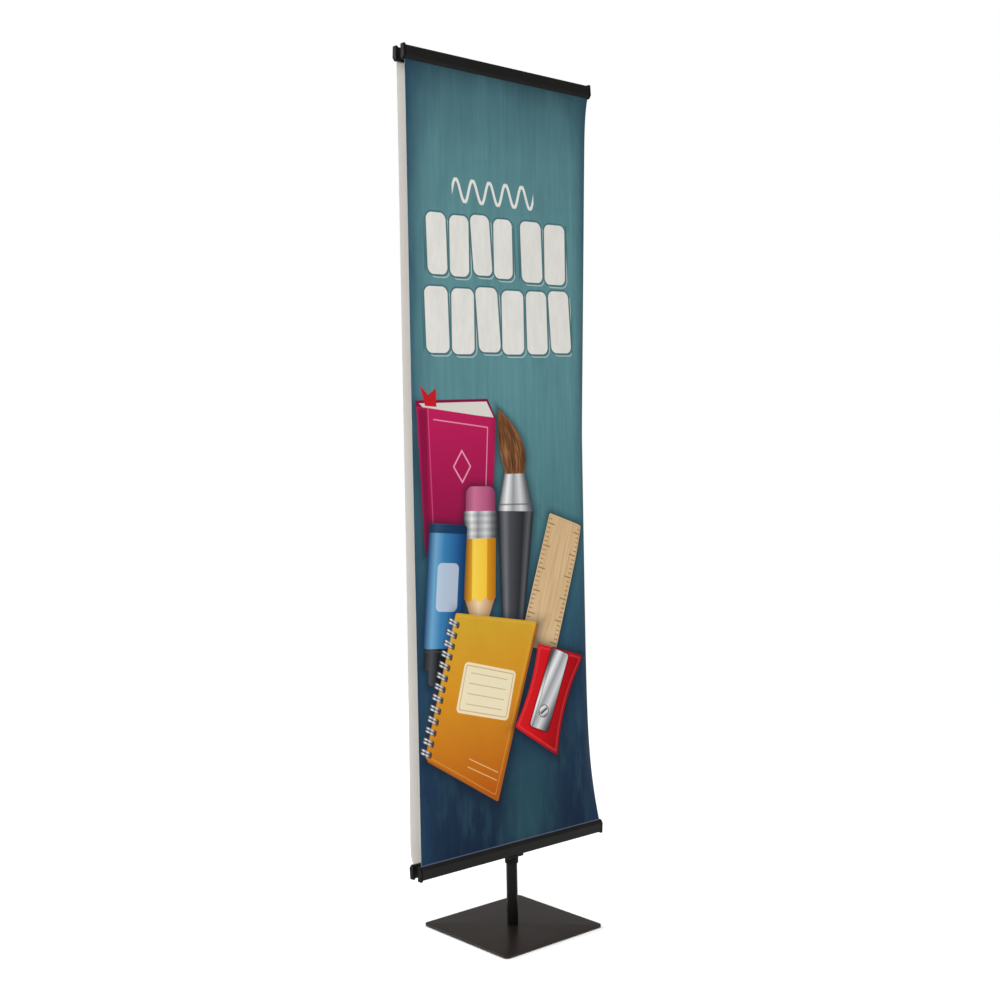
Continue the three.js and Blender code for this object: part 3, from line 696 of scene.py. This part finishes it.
def skin(rows, closed_path=False):
    """A surface through rows of points, each a closed loop. It closes on itself or ends in flat caps."""
    rows = np.asarray(rows, float)
    count, steps = rows.shape[:2]
    spans = count if closed_path else count - 1
    row = np.arange(spans)[:, None]
    column = np.arange(steps)[None, :]
    after_row = (row + 1) % count
    after_column = (column + 1) % steps
    corners = (row * steps + column, row * steps + after_column,
               after_row * steps + after_column, after_row * steps + column)
    faces = np.stack(np.broadcast_arrays(*corners), -1).reshape(-1, 4).tolist()
    if not closed_path:
        faces += [list(range(steps))[::-1], list(range((count - 1) * steps, count * steps))]
    return rows.reshape(-1, 3), faces


def outward(points, faces):
    """The faces, turned over if the volume that they enclose is negative."""
    volume = 0
    for size in sorted({len(face) for face in faces}):
        found = points[np.array([face for face in faces if len(face) == size])]
        first = found[:, 0]
        for second in range(1, size - 1):
            volume += np.einsum("ij,ij->i", first, np.cross(found[:, second], found[:, second + 1])).sum()
    return faces if volume > 0 else [face[::-1] for face in faces]


def add_piece(name, points, faces, slot, replaced, *materials):
    """An object of its own from points in millimetres, which stands for some frame nodes."""
    mesh = bpy.data.meshes.new(name)
    mesh.from_pydata((points * MM).tolist(), [], faces)
    for material in materials:
        mesh.materials.append(material)
    piece = add_object(name, mesh)
    if replaced:
        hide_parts(*replaced)
    return piece


def make(name, surfaces, material, body, slot, *replaced):
    """One turned or swept piece from its surfaces, riding on a body."""
    points = []
    faces = []
    for surface_points, surface_faces in surfaces:
        start = sum(len(part) for part in points)
        faces += [[start + corner for corner in face] for face in outward(surface_points, surface_faces)]
        points.append(surface_points)
    piece = add_piece(name, np.concatenate(points), faces, slot, replaced, material)
    weld(piece.data)
    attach(piece, body)


def smooth(mesh):
    mesh.polygons.foreach_set("use_smooth", np.ones(len(mesh.polygons), bool))
    mesh.set_sharp_from_angle(angle=SMOOTH_ANGLE)


def weld(mesh):
    """Merges points that meet on an axis, drops faces without area, and smooths all but sharp edges."""
    work = bmesh.new()
    work.from_mesh(mesh)
    bmesh.ops.remove_doubles(work, verts=work.verts, dist=TINY)
    bmesh.ops.dissolve_degenerate(work, edges=work.edges, dist=TINY / 10)
    work.to_mesh(mesh)
    work.free()
    smooth(mesh)


def arc(x, y, radius, start, end, steps=10):
    """Points on a circle from one angle to another, in degrees, anticlockwise if end is larger."""
    angle = np.radians(np.linspace(start, end, steps + 1))
    return np.stack([x + radius * np.cos(angle), y + radius * np.sin(angle)], -1)


def eased(corners, steps=4):
    """A closed outline with rounded corners, given as (a, b, rounding) triples.

    Each corner becomes a quadratic curve between two points on its edges, as far from the corner as a
    circle of that radius would touch them, and no further than 0.45 of an edge.
    """
    places = np.array([corner[:2] for corner in corners], float)
    rounding = np.array([corner[2] for corner in corners], float)[:, None]
    back = np.roll(places, 1, 0) - places
    ahead = np.roll(places, -1, 0) - places
    back_length = np.linalg.norm(back, axis=1, keepdims=True)
    ahead_length = np.linalg.norm(ahead, axis=1, keepdims=True)
    back /= back_length
    ahead /= ahead_length
    half = np.arccos(np.clip((back * ahead).sum(1, keepdims=True), -1, 1)) / 2
    reach = np.minimum(rounding / np.tan(half), 0.45 * np.minimum(back_length, ahead_length))
    share = np.linspace(0, 1, steps + 1)[None, :, None]
    start = (places + back * reach)[:, None]
    end = (places + ahead * reach)[:, None]
    middle = places[:, None]
    curve = (1 - share) ** 2 * start + 2 * share * (1 - share) * middle + share**2 * end
    return curve.reshape(-1, 2)


def turned(corners, sides=ROUND, relief=None, steps=4):
    """A profile of (radius, height, rounding) corners, carried once round Z.

    relief(angle, radius, height) is taken off the radius, for grips and threads.
    """
    profile = eased(corners, steps)
    angle = np.arange(sides) * (2 * math.pi / sides)
    radius, height = (np.repeat(part[:, None], sides, 1) for part in profile.T)
    if relief:
        radius = radius - relief(angle[None, :], radius, height)
    rows = np.stack([radius * np.cos(angle), radius * np.sin(angle), height], -1)
    return skin(rows, closed_path=True)


def moved(surface, x=0, y=0, z=0):
    points, faces = surface
    return points + np.array([x, y, z], float), faces


def rounded_square(width, depth, corner, steps):
    """A closed outline of 4 * steps points, half of them on the corners' arcs and half on the sides."""
    bends = []
    for start in (0, 90, 180, 270):
        angle = math.radians(start + 45)
        x = math.copysign(width / 2 - corner, math.cos(angle))
        y = math.copysign(depth / 2 - corner, math.sin(angle))
        bends.append(arc(x, y, corner, start, start + 90, steps // 2))
    share = np.linspace(0, 1, steps // 2 + 1)[1:-1, None]
    found = []
    for bend, after in zip(bends, bends[1:] + bends[:1]):
        found += [bend, bend[-1] + (after[0] - bend[-1]) * share]
    return np.concatenate(found)


def even_circle(outline, radius):
    """A circle with one point for each point of an outline, in the same directions."""
    angle = np.arctan2(outline[:, 1], outline[:, 0])
    return radius * np.stack([np.cos(angle), np.sin(angle)], -1)


def lifted(outline, height):
    return np.column_stack([outline, np.full(len(outline), height)])


def slab(name, node, corner, edge, rims, finish, body, slot, steps=24, bends=8):
    """A plate with a hole: rings of points over its top, round its rounded edge and back underneath.

    rims are (radius, height) rings of the hole, the first of them at the top.
    """
    low, high = box_mm(node)
    width, depth = (high - low)[:2]
    outline = rounded_square(width, depth, corner, steps)
    circles = [lifted(even_circle(outline, radius), height) for radius, height in rims]
    rings = circles[:1]
    for angle in np.radians(np.linspace(90, -90, bends + 1)):
        inset = edge * (1 - math.cos(angle))
        level = high[2] - edge if angle >= 0 else low[2] + edge
        size = rounded_square(width - 2 * inset, depth - 2 * inset, corner - inset, steps)
        rings.append(lifted(size, level + edge * math.sin(angle)))
    make(name, [skin(rings + circles[1:], closed_path=True)], finish, body, slot, node)


# ---- Base ----

PLATE_CORNER = 12.6
PLATE_EDGE = 0.7
BOLT_CLEAR = 5.3  # radius of the bolt's hole in the plate
HEAD_WALL = 0.2  # straight wall under the bolt head's cone
PAD_GROOVE = ((3, 0), (3.4, 0.5), (5, 0.5), (5.4, 0))  # distance from the rim, and depth


def floor_plate(finish):
    """The square plate, whose hole widens to a cone for the bolt's head underneath."""
    low, high = box_mm("base_plate")
    head = radius_mm("base_bolt") + FIT
    rims = [(BOLT_CLEAR, high[2]), (head, low[2]), (head, low[2] + HEAD_WALL), (BOLT_CLEAR, high[2] - FIT)]
    slab("floor_plate", "base_plate", PLATE_CORNER, PLATE_EDGE, rims,
         finish, "base", "base_powder_coat", 40, 12)


def floor_pads(finish):
    """Round rubber pads with a moulded rim and a grip groove underneath."""
    for corner in ("front_left", "front_right", "rear_left", "rear_right"):
        low, high = box_mm(f"foot_{corner}")
        radius = (high - low)[0] / 2
        middle = (low + high) / 2
        profile = [(0, high[2], 0), (radius, high[2], 0.3), (radius, low[2], 0.5),
                   *[(radius - inset, low[2] + rise, 0.2) for inset, rise in PAD_GROOVE], (0, low[2], 0)]
        surface = moved(turned(profile, 48), middle[0], middle[1])
        make(f"floor_pad_{corner}", [surface], finish, "base", "rubber", f"foot_{corner}")


COLLAR_GRIPS = 18
RING_GRIPS = 14
GRIP_DEPTH = 0.75
GRIP_HALF = 1.5  # half of a groove's width
GRIP_STEPS = 9  # points up a grip's wall
OUTSIDE_DEPTH = 0.01  # a point this close to the outside is cut by the grooves
COLLAR_BAND = 2.2  # plain bands beside the grips
RING_FOOT_BAND = 2.6
RING_TOP_BAND = 4.6


def grip_relief(count, wide, low, high):
    """Round-bottomed finger grooves: a parabola across each, faded out over a millimetre at both ends."""

    def relief(angle, radius, height):
        turn = 2 * math.pi / count
        offset = (np.mod(angle + turn / 2, turn) - turn / 2) * wide
        across = np.clip(1 - (offset / GRIP_HALF) ** 2, 0, 1)
        ends = np.clip(np.minimum(height - low, high - height), 0, 1)
        return GRIP_DEPTH * across * ends * (radius > wide - OUTSIDE_DEPTH)

    return relief


def twist_collar(finish):
    """The collar round the socket: a wide bore, a lip over the spigot, and finger grooves outside."""
    low, high = box_mm("base_collar")
    wide = (high - low)[0] / 2
    bore = radius_mm("socket_tube") + FIT
    lip = radius_mm("mast_spigot") + FIT
    lip_low = box_mm("socket_bush")[1][2] + FIT
    grip_low, grip_high = low[2] + COLLAR_BAND, high[2] - COLLAR_BAND
    wall = [(wide, level, 0.1) for level in np.linspace(grip_low, grip_high, GRIP_STEPS)]
    profile = [(bore, low[2], 0.4), (wide - 0.5, low[2], 0.8), (wide, low[2] + 1, 0.6), *wall,
               (wide, high[2] - 1, 0.6), (wide - 0.5, high[2], 0.8), (lip, high[2], 0.4),
               (lip, lip_low, 0.2), (bore, lip_low, 0.2)]
    relief = grip_relief(COLLAR_GRIPS, wide, grip_low, grip_high)
    surface = turned(profile, COLLAR_GRIPS * 14, relief, 2)
    make("twist_collar", [surface], finish, "base_lock", "black_plastic", "base_collar")


# ---- Mast ----

TUBE_WALL = 1
SLEEVE_RIBS = 12
SLEEVE_GROOVE = 0.5
SLEEVE_LAND = 0.4  # part of a cosine rib that stays uncut
SLEEVE_FOOT_BAND = 3
SLEEVE_TOP_BAND = 4
NECK_WALL = 2.35  # of the sleeve, inside the ring
TUBE_EDGE = 0.25


def tube(name, node, inner, finish, body, slot, outer_edge=TUBE_EDGE, inner_edge=TUBE_EDGE):
    """A straight tube with rounded ends, from its node's box and its inner radius."""
    low, high = box_mm(node)
    outer = high[0]
    profile = [(outer, low[2], outer_edge), (outer, high[2], outer_edge),
               (inner, high[2], inner_edge), (inner, low[2], inner_edge)]
    make(name, [turned(profile)], finish, body, slot, node)


def tube_plate(name, node, tube_node, corner, edge, finish, body, slot):
    """A plate or block with a hole for one of the mast's tubes."""
    low, high = box_mm(node)
    hole = radius_mm(tube_node) + FIT
    slab(name, node, corner, edge, [(hole, high[2]), (hole, low[2])], finish, body, slot)


def lock_sleeve(finish):
    """The height lock's lower half: a skirt over the lower tube, a cap, and a neck inside the ring."""
    low, high = box_mm("height_lock_sleeve")
    wide = high[0]
    tube_high = box_mm("lower_mast_tube")[1]
    skirt_top = tube_high[2] + FIT
    step = box_mm("height_lock_ring")[0][2] - FIT
    neck = radius_mm("upper_mast_tube") + FIT
    bore = tube_high[0] + FIT
    neck_wide = neck + NECK_WALL
    foot, brow = low[2] + SLEEVE_FOOT_BAND, step - SLEEVE_TOP_BAND
    profile = [(bore, low[2], 0.2), (wide, low[2], 0.8), (wide, foot + 0.2, 0.1), (wide, brow - 0.2, 0.1),
               (wide, step, 0.6), (neck_wide, step, 0.2), (neck_wide, high[2], 0.4), (neck, high[2], 0.2),
               (neck, skirt_top, 0.1), (bore, skirt_top, 0.1)]

    def relief(angle, radius, height):
        groove = np.clip(np.cos(angle * SLEEVE_RIBS) - SLEEVE_LAND, 0, 1)
        return SLEEVE_GROOVE * groove * (radius > wide - OUTSIDE_DEPTH) * (height < brow) * (height > foot)

    surface = turned(profile, SLEEVE_RIBS * 12, relief, 2)
    make("lock_sleeve", [surface], finish, "mast", "black_plastic", "height_lock_sleeve")


def lock_ring(finish):
    """The height lock's ring: a bore round the sleeve's neck, a lip at the tube, and finger grooves."""
    low, high = box_mm("height_lock_ring")
    wide = (high - low)[0] / 2
    bore = radius_mm("upper_mast_tube") + FIT + NECK_WALL + FIT
    lip = radius_mm("upper_mast_tube") + FIT
    step = box_mm("height_lock_sleeve")[1][2] + FIT
    grip_low, grip_high = low[2] + RING_FOOT_BAND, high[2] - RING_TOP_BAND
    wall = [(wide, level, 0.1) for level in np.linspace(grip_low, grip_high, GRIP_STEPS)]
    profile = [(bore, low[2], 0.3), (wide, low[2], 0.6), *wall,
               (wide, high[2] - 2, 1.2), (wide - 2, high[2], 1.2), (lip, high[2], 0.3),
               (lip, step, 0.1), (bore, step, 0.1)]
    relief = grip_relief(RING_GRIPS, wide, grip_low, grip_high)
    surface = turned(profile, RING_GRIPS * 14, relief, 2)
    make("lock_ring", [surface], finish, "height_lock", "black_plastic", "height_lock_ring")


def mast(post_coat, mast_metal, plastic):
    """Everything between the base plate and the top rails, from the floor up."""
    bore = radius_mm("socket_plug") + FIT
    tube("socket_post", "socket_tube", bore, post_coat, "base", "black_powder_coat",
         outer_edge=0.4, inner_edge=0.3)
    twist_collar(plastic)
    tube_plate("rail_saddle", "saddle_plate", "lower_mast_tube", 4, 0.6,
               post_coat, "mast", "black_powder_coat")
    posts = (("mast_post", "lower_mast_tube", "mast"), ("upper_post", "upper_mast_tube", "upper_mast"))
    for name, node, body in posts:
        tube(name, node, radius_mm(node) - TUBE_WALL, mast_metal, body, "mast_black")
    lock_sleeve(plastic)
    lock_ring(plastic)
    tube_plate("top_block", "crosshead", "upper_mast_tube", 1.6, 0.8,
               plastic, "upper_mast", "black_plastic")


# ---- Rails ----
# A section has u out of the rail's face and v from the banner's slot to the closed edge.

RAIL_HEIGHT = 33
BACK_DEPTH = 7
BACK_WALL = 1.8
JAW_HEIGHT = 3
JAW_SLOPE = 1.4
JAW_NOSE = 1
JAW_GAP = 0.6
BEAD_RADIUS = 1.5
BEAD_OUT = 2.8
BEAD_HEIGHT = 30
WEB_HALF = 0.9
FLAP_WALL = 1.2
SHOULDER_OUT = 7.6
SHOULDER_RISE = 8.5
HOOK_INNER = BEAD_RADIUS + FIT
HOOK_OUTER = HOOK_INNER + FLAP_WALL
HOOK_START = 105  # degrees round the bead
HOOK_END = 300
CAP_LIP = 0.4
CAP_PROUD = 3
CAP_EDGE = 1.1
CAP_RIM = 1.9  # from the outline to the shallow recess in the end
CAP_SINK = 0.35  # depth of the recess
LUG_EDGE = 0.4
RAIL_BREAK = 0.15  # broken edge where a rail is sawn off


def rail_outline():
    """The fixed half: back wall, jaw, and a web along the closed edge that ends in the hinge bead."""
    opening = math.degrees(math.asin(WEB_HALF / BEAD_RADIUS))
    clear = -BEAD_OUT + HOOK_OUTER + FIT
    inner = BACK_DEPTH - BACK_WALL
    wall = eased([(inner, BEAD_HEIGHT - WEB_HALF, 0.6), (inner, JAW_HEIGHT + JAW_SLOPE, 0.6),
                  (JAW_GAP, JAW_HEIGHT, 0.3), (JAW_GAP, 0, 0.25), (BACK_DEPTH, 0, 0.5),
                  (BACK_DEPTH, RAIL_HEIGHT, 0.7), (clear, RAIL_HEIGHT, 0.5),
                  (clear, BEAD_HEIGHT + WEB_HALF, 0.3)])
    bead = arc(-BEAD_OUT, BEAD_HEIGHT, BEAD_RADIUS, opening, 360 - opening, 24)
    return np.concatenate([wall, bead])


def flap_outline():
    """The snap half: a hook round the bead, a face that leans out to a shoulder, and the other jaw."""
    face = -BEAD_OUT - HOOK_OUTER
    lean = (SHOULDER_OUT + face) / (BEAD_HEIGHT - SHOULDER_RISE)
    under = BEAD_HEIGHT - math.sqrt(HOOK_OUTER**2 - HOOK_INNER**2)
    root = 180 + math.degrees(math.asin((BEAD_HEIGHT - under) / HOOK_OUTER))
    hook = arc(-BEAD_OUT, BEAD_HEIGHT, HOOK_OUTER, HOOK_START, 180, 14)
    shell = curve_through([
        (face, BEAD_HEIGHT, 0), (-SHOULDER_OUT, SHOULDER_RISE, 1.1), (-JAW_GAP - JAW_NOSE, 0, 0.5),
        (-JAW_GAP, 0, 0.2), (-JAW_GAP, JAW_HEIGHT, 0.3),
        (FLAP_WALL * 1.2 - SHOULDER_OUT, SHOULDER_RISE + FLAP_WALL * 0.8, 0.8),
        (-BEAD_OUT - HOOK_INNER - lean * (BEAD_HEIGHT - under), under, 0)])
    underside = arc(-BEAD_OUT, BEAD_HEIGHT, HOOK_OUTER, root, HOOK_END, 10)
    mouth = arc(-BEAD_OUT, BEAD_HEIGHT, HOOK_INNER, HOOK_END, HOOK_START, 18)
    return np.concatenate([hook[:-1], shell, underside, mouth])


def curve_through(corners):
    """The rounded corners between a first and a last point, which stay sharp."""
    curve = eased(corners)
    count = len(corners)
    steps = len(curve) // count
    middle = curve[steps:-steps]
    first, last = (np.array([corner[:2]], float) for corner in (corners[0], corners[-1]))
    return np.concatenate([first, middle, last])


def cap_outline():
    """The moulded end: the rail's outline with a lip all round, taller past the closed edge."""
    back = BACK_DEPTH + CAP_LIP
    face = -BEAD_OUT - HOOK_OUTER - CAP_LIP
    top = RAIL_HEIGHT + CAP_PROUD
    return eased([(back, -CAP_LIP, 0.7), (back, top, 1.8), (face, top, 1.8),
                  (-SHOULDER_OUT - CAP_LIP, SHOULDER_RISE, 1.4), (-JAW_GAP - JAW_NOSE, -CAP_LIP, 0.7)], 6)


def shrunk(outline, inset):
    """An outline moved inwards by a small distance, along normals from its neighbouring points."""
    along = np.roll(outline, -1, 0) - np.roll(outline, 1, 0)
    normal = np.column_stack([along[:, 1], -along[:, 0]])
    normal /= np.linalg.norm(normal, axis=1, keepdims=True)
    area = (outline[:, 0] * np.roll(outline[:, 1], -1) - outline[:, 1] * np.roll(outline[:, 0], -1)).sum()
    return outline - normal * inset * np.sign(area)


def along_rail(outline, side, level, stations):
    """A section at several places along X. Each station is (x, inset)."""
    slot_height = slot_level(level)
    plane = banner_plane(side)
    rows = []
    for x, inset in stations:
        section = shrunk(outline, inset) if inset else outline
        across = plane - SIDES[side] * section[:, 0]
        height = slot_height + LEVELS[level] * section[:, 1]
        rows.append(np.column_stack([np.full(len(section), x), across, height]))
    return skin(rows)


def banner_plane(side):
    """Y of a banner's middle: the back face of its rail, moved out by the rail's back depth."""
    low, high = box_mm(f"{side}_top_rail")
    return high[1] - BACK_DEPTH if side == "front" else low[1] + BACK_DEPTH


def slot_level(level):
    low, high = box_mm(f"front_{level}_rail")
    return low[2] if level == "top" else high[2]


def rails(metal, plastic):
    for side in SIDES:
        for level in LEVELS:
            name = f"{side}_{level}"
            low, high = box_mm(f"{name}_rail")
            body = "upper_mast" if level == "top" else "mast"
            ends = [(low[0], RAIL_BREAK), (low[0] + RAIL_BREAK, 0)]
            span = ends + [(high[0] - RAIL_BREAK, 0), (high[0], RAIL_BREAK)]
            track = along_rail(rail_outline(), side, level, span)
            make(f"{name}_track", [track], metal, body, "rail_black", f"{name}_rail")
            snap = along_rail(flap_outline(), side, level, span)
            make(f"{name}_snap", [snap], metal, f"{name}_snap", "rail_black", f"{name}_flap")
            for end in ENDS:
                end_cap(side, level, end, body, plastic)


def end_cap(side, level, end, body, finish):
    """A moulded cap: a lip section with its outer edge rounded, and a lug that goes up the rail."""
    node = f"{side}_{level}_cap_{end}"
    low, high = box_mm(node)
    way = ENDS[end]
    outer = high[0] if way > 0 else low[0]
    inner = (box_mm(f"{side}_{level}_rail")[1][0] + FIT) * way
    turn = np.radians(np.linspace(0, 90, 6))
    bend = [(outer - way * CAP_EDGE * (1 - math.sin(a)), CAP_EDGE * (1 - math.cos(a))) for a in turn]
    recess = [(outer, CAP_RIM), (outer - way * CAP_SINK, CAP_RIM + 0.2)]
    stations = [(inner, 0.2), (inner + way * 0.2, 0), *bend, *recess]
    plate = along_rail(cap_outline(), side, level, stations)
    near, far = JAW_GAP + FIT, BACK_DEPTH - BACK_WALL - FIT
    foot, head = JAW_HEIGHT + JAW_SLOPE + 2 * FIT, BEAD_HEIGHT - WEB_HALF - FIT
    lug = eased([(*place, LUG_EDGE) for place in ((near, foot), (far, foot), (far, head), (near, head))])
    tip = low[0] if way > 0 else high[0]
    peg = along_rail(lug, side, level, [(tip, 0.6), (tip + way * 0.6, 0), (inner + way, 0)])
    make(f"{side}_{level}_end_{end}", [plate, peg], finish, body, "black_plastic", node)


# ---- Banners ----

FILM_THICK = 0.4
CURL_LENGTH = 77  # strip along the +X edge that curls back
CURL_RADIUS = 85
CURL_RISE_LOW = 130  # height over which the curl grows above the bottom rail
CURL_RISE_TOP = 900  # height over which it fades out under the top rail
CURL_START_TOP = 40
CURL_START_SHARE = 0.3
REAR_BULGE = 12
BULGE_START = 15
BULGE_FADE = 500
RIPPLE = 0.7
RIPPLE_WAVES = ((1, 47, 520, 0), (0.6, 23, -310, 1.3))  # share, length along, length up and shift
RIPPLE_CLEAR = 160  # height over which ripples fade out beside a rail
BANNER_ROWS = 300
FLAT_COLUMNS = 48
CURL_COLUMNS = 28


def film_place(side, along, height, lower, upper, half):
    """Where a point of a sheet lies: flat, with its curled strip, the rear sheet's bow and ripples.

    The strip bends round a cylinder whose curvature grows from nothing at the rails, so a point at a
    distance s into it moves to sin(bend s)/bend along and (1 - cos(bend s))/bend back.
    """
    low = np.clip(height - lower, 0, None)
    high = np.clip(upper - height, 0, None)
    quick = CURL_START_SHARE * (1 - np.exp(-high / CURL_START_TOP))
    top = np.minimum(1, quick + (1 - CURL_START_SHARE) * high / CURL_RISE_TOP)
    bend = np.maximum((1 - np.exp(-low / CURL_RISE_LOW)) * top / CURL_RADIUS, TINY)
    strip = np.clip(along - (half - CURL_LENGTH), 0, None)
    x = along - strip + np.sin(bend * strip) / bend
    back = (1 - np.cos(bend * strip)) / bend
    if side == "rear":
        bow = (1 - np.exp(-low / BULGE_START)) * np.exp(-low / BULGE_FADE)
        back = back + REAR_BULGE * bow * np.minimum(1, high / BULGE_FADE)
    free = np.clip(np.minimum(low, high) / RIPPLE_CLEAR, 0, 1)
    waves = [share * np.sin(along / x_length + height / z_length + shift)
             for share, x_length, z_length, shift in RIPPLE_WAVES]
    return x, back + RIPPLE * free * free * sum(waves)


def film(side, printed, plain):
    """A closed sheet: its printed face looks away from the mast, and its plain face towards it."""
    node = f"{side}_banner"
    low, high = box_mm(node)
    half = -low[0]
    lower, upper = slot_level("bottom"), slot_level("top")
    columns = np.concatenate([np.linspace(-half, half - CURL_LENGTH, FLAT_COLUMNS + 1)[:-1],
                              np.linspace(half - CURL_LENGTH, half, CURL_COLUMNS + 1)])
    levels = np.linspace(low[2], high[2], BANNER_ROWS + 1)
    along, height = np.meshgrid(columns, levels)
    x, back = film_place(side, along, height, lower, upper, half)
    middle = np.stack([x, banner_plane(side) + back, height], -1)
    across = np.gradient(middle, columns, axis=1)
    upwards = np.gradient(middle, levels, axis=0)
    normal = np.cross(across, upwards)
    normal *= SIDES[side] * np.sign(normal[..., 1:2]) / np.linalg.norm(normal, axis=-1, keepdims=True)
    points = np.concatenate([(middle + way * normal * FILM_THICK / 2).reshape(-1, 3) for way in (1, -1)])
    faces = outward(points, sheet_faces(*along.shape))
    sheet = add_piece(f"{side}_print", points, faces, "printed_vinyl", [node], printed, plain)
    mesh = sheet.data
    behind = np.array(faces).max(1) >= along.size
    mesh.polygons.foreach_set("material_index", behind.astype(np.int32))
    smooth(mesh)
    reading = along + half if side == "front" else half - along
    place = np.stack([reading, upper - height], -1).reshape(-1, 2) * MM
    used = np.zeros(len(mesh.loops), np.int32)
    mesh.loops.foreach_get("vertex_index", used)
    layer = mesh.uv_layers.new(name=PRINT_MAP)
    layer.uv.foreach_set("vector", np.concatenate([place, place])[used].astype(np.float32).ravel())
    lower * MM
    upper * MM
    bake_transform(sheet)


def sheet_faces(rows, columns):
    """Faces of two grids of points, one behind the other, joined round their rim."""
    index = np.arange(rows * columns).reshape(rows, columns)
    grid = np.stack([index[:-1, :-1], index[:-1, 1:], index[1:, 1:], index[1:, :-1]], -1).reshape(-1, 4)
    rim = np.concatenate([index[0], index[1:, -1], index[-1, -2::-1], index[-2:0:-1, 0]])
    after = np.roll(rim, -1)
    size = rows * columns
    edge = np.stack([after, rim, rim + size, after + size], -1)
    return np.concatenate([grid, grid[:, ::-1] + size, edge]).tolist()


# ---- Screws, pins and other small pieces from the frame ----


def refinish(material, *nodes):
    """Gives frame nodes a finish of their own in all of their material slots."""
    for node in nodes:
        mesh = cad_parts[node].data
        if not mesh.materials:
            mesh.materials.append(material)
        for slot in range(len(mesh.materials)):
            mesh.materials[slot] = material


def build_stand():
    plate_coat = powder_coat("plate_powder_coat", linear(22, 17, 14), 0.34, 0.3, WARM_GLOSS)
    post_coat = powder_coat("post_powder_coat", linear(12, 12, 11), 0.4, 0.12)
    rail_metal = satin_metal("rail_satin_black", linear(24, 24, 23), 0.36, 0.11, (8, 900, 900))
    mast_metal = satin_metal("mast_satin_black", linear(14, 14, 14), 0.36, 0.16, (900, 900, 8))
    plastic = moulded_plastic("cap_plastic", linear(13, 13, 12), 0.5)
    floor_plate(plate_coat)
    floor_pads(moulded_rubber())
    mast(post_coat, mast_metal, plastic)
    rails(rail_metal, plastic)
    printed = printed_film()
    plain = unprinted_film()
    for side in SIDES:
        film(side, printed, plain)
    fasteners = [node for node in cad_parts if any(word in node for word in ("screw", "pin", "bolt"))]
    refinish(zinc_plate(), "socket_plug", *fasteners)
    refinish(post_coat, "mast_spigot")
    refinish(plastic, "socket_bush", "tube_slider")


bpy.context.scene.view_settings.view_transform = "Standard"
add_camera()
add_studio()
add_floor()
build_stand()
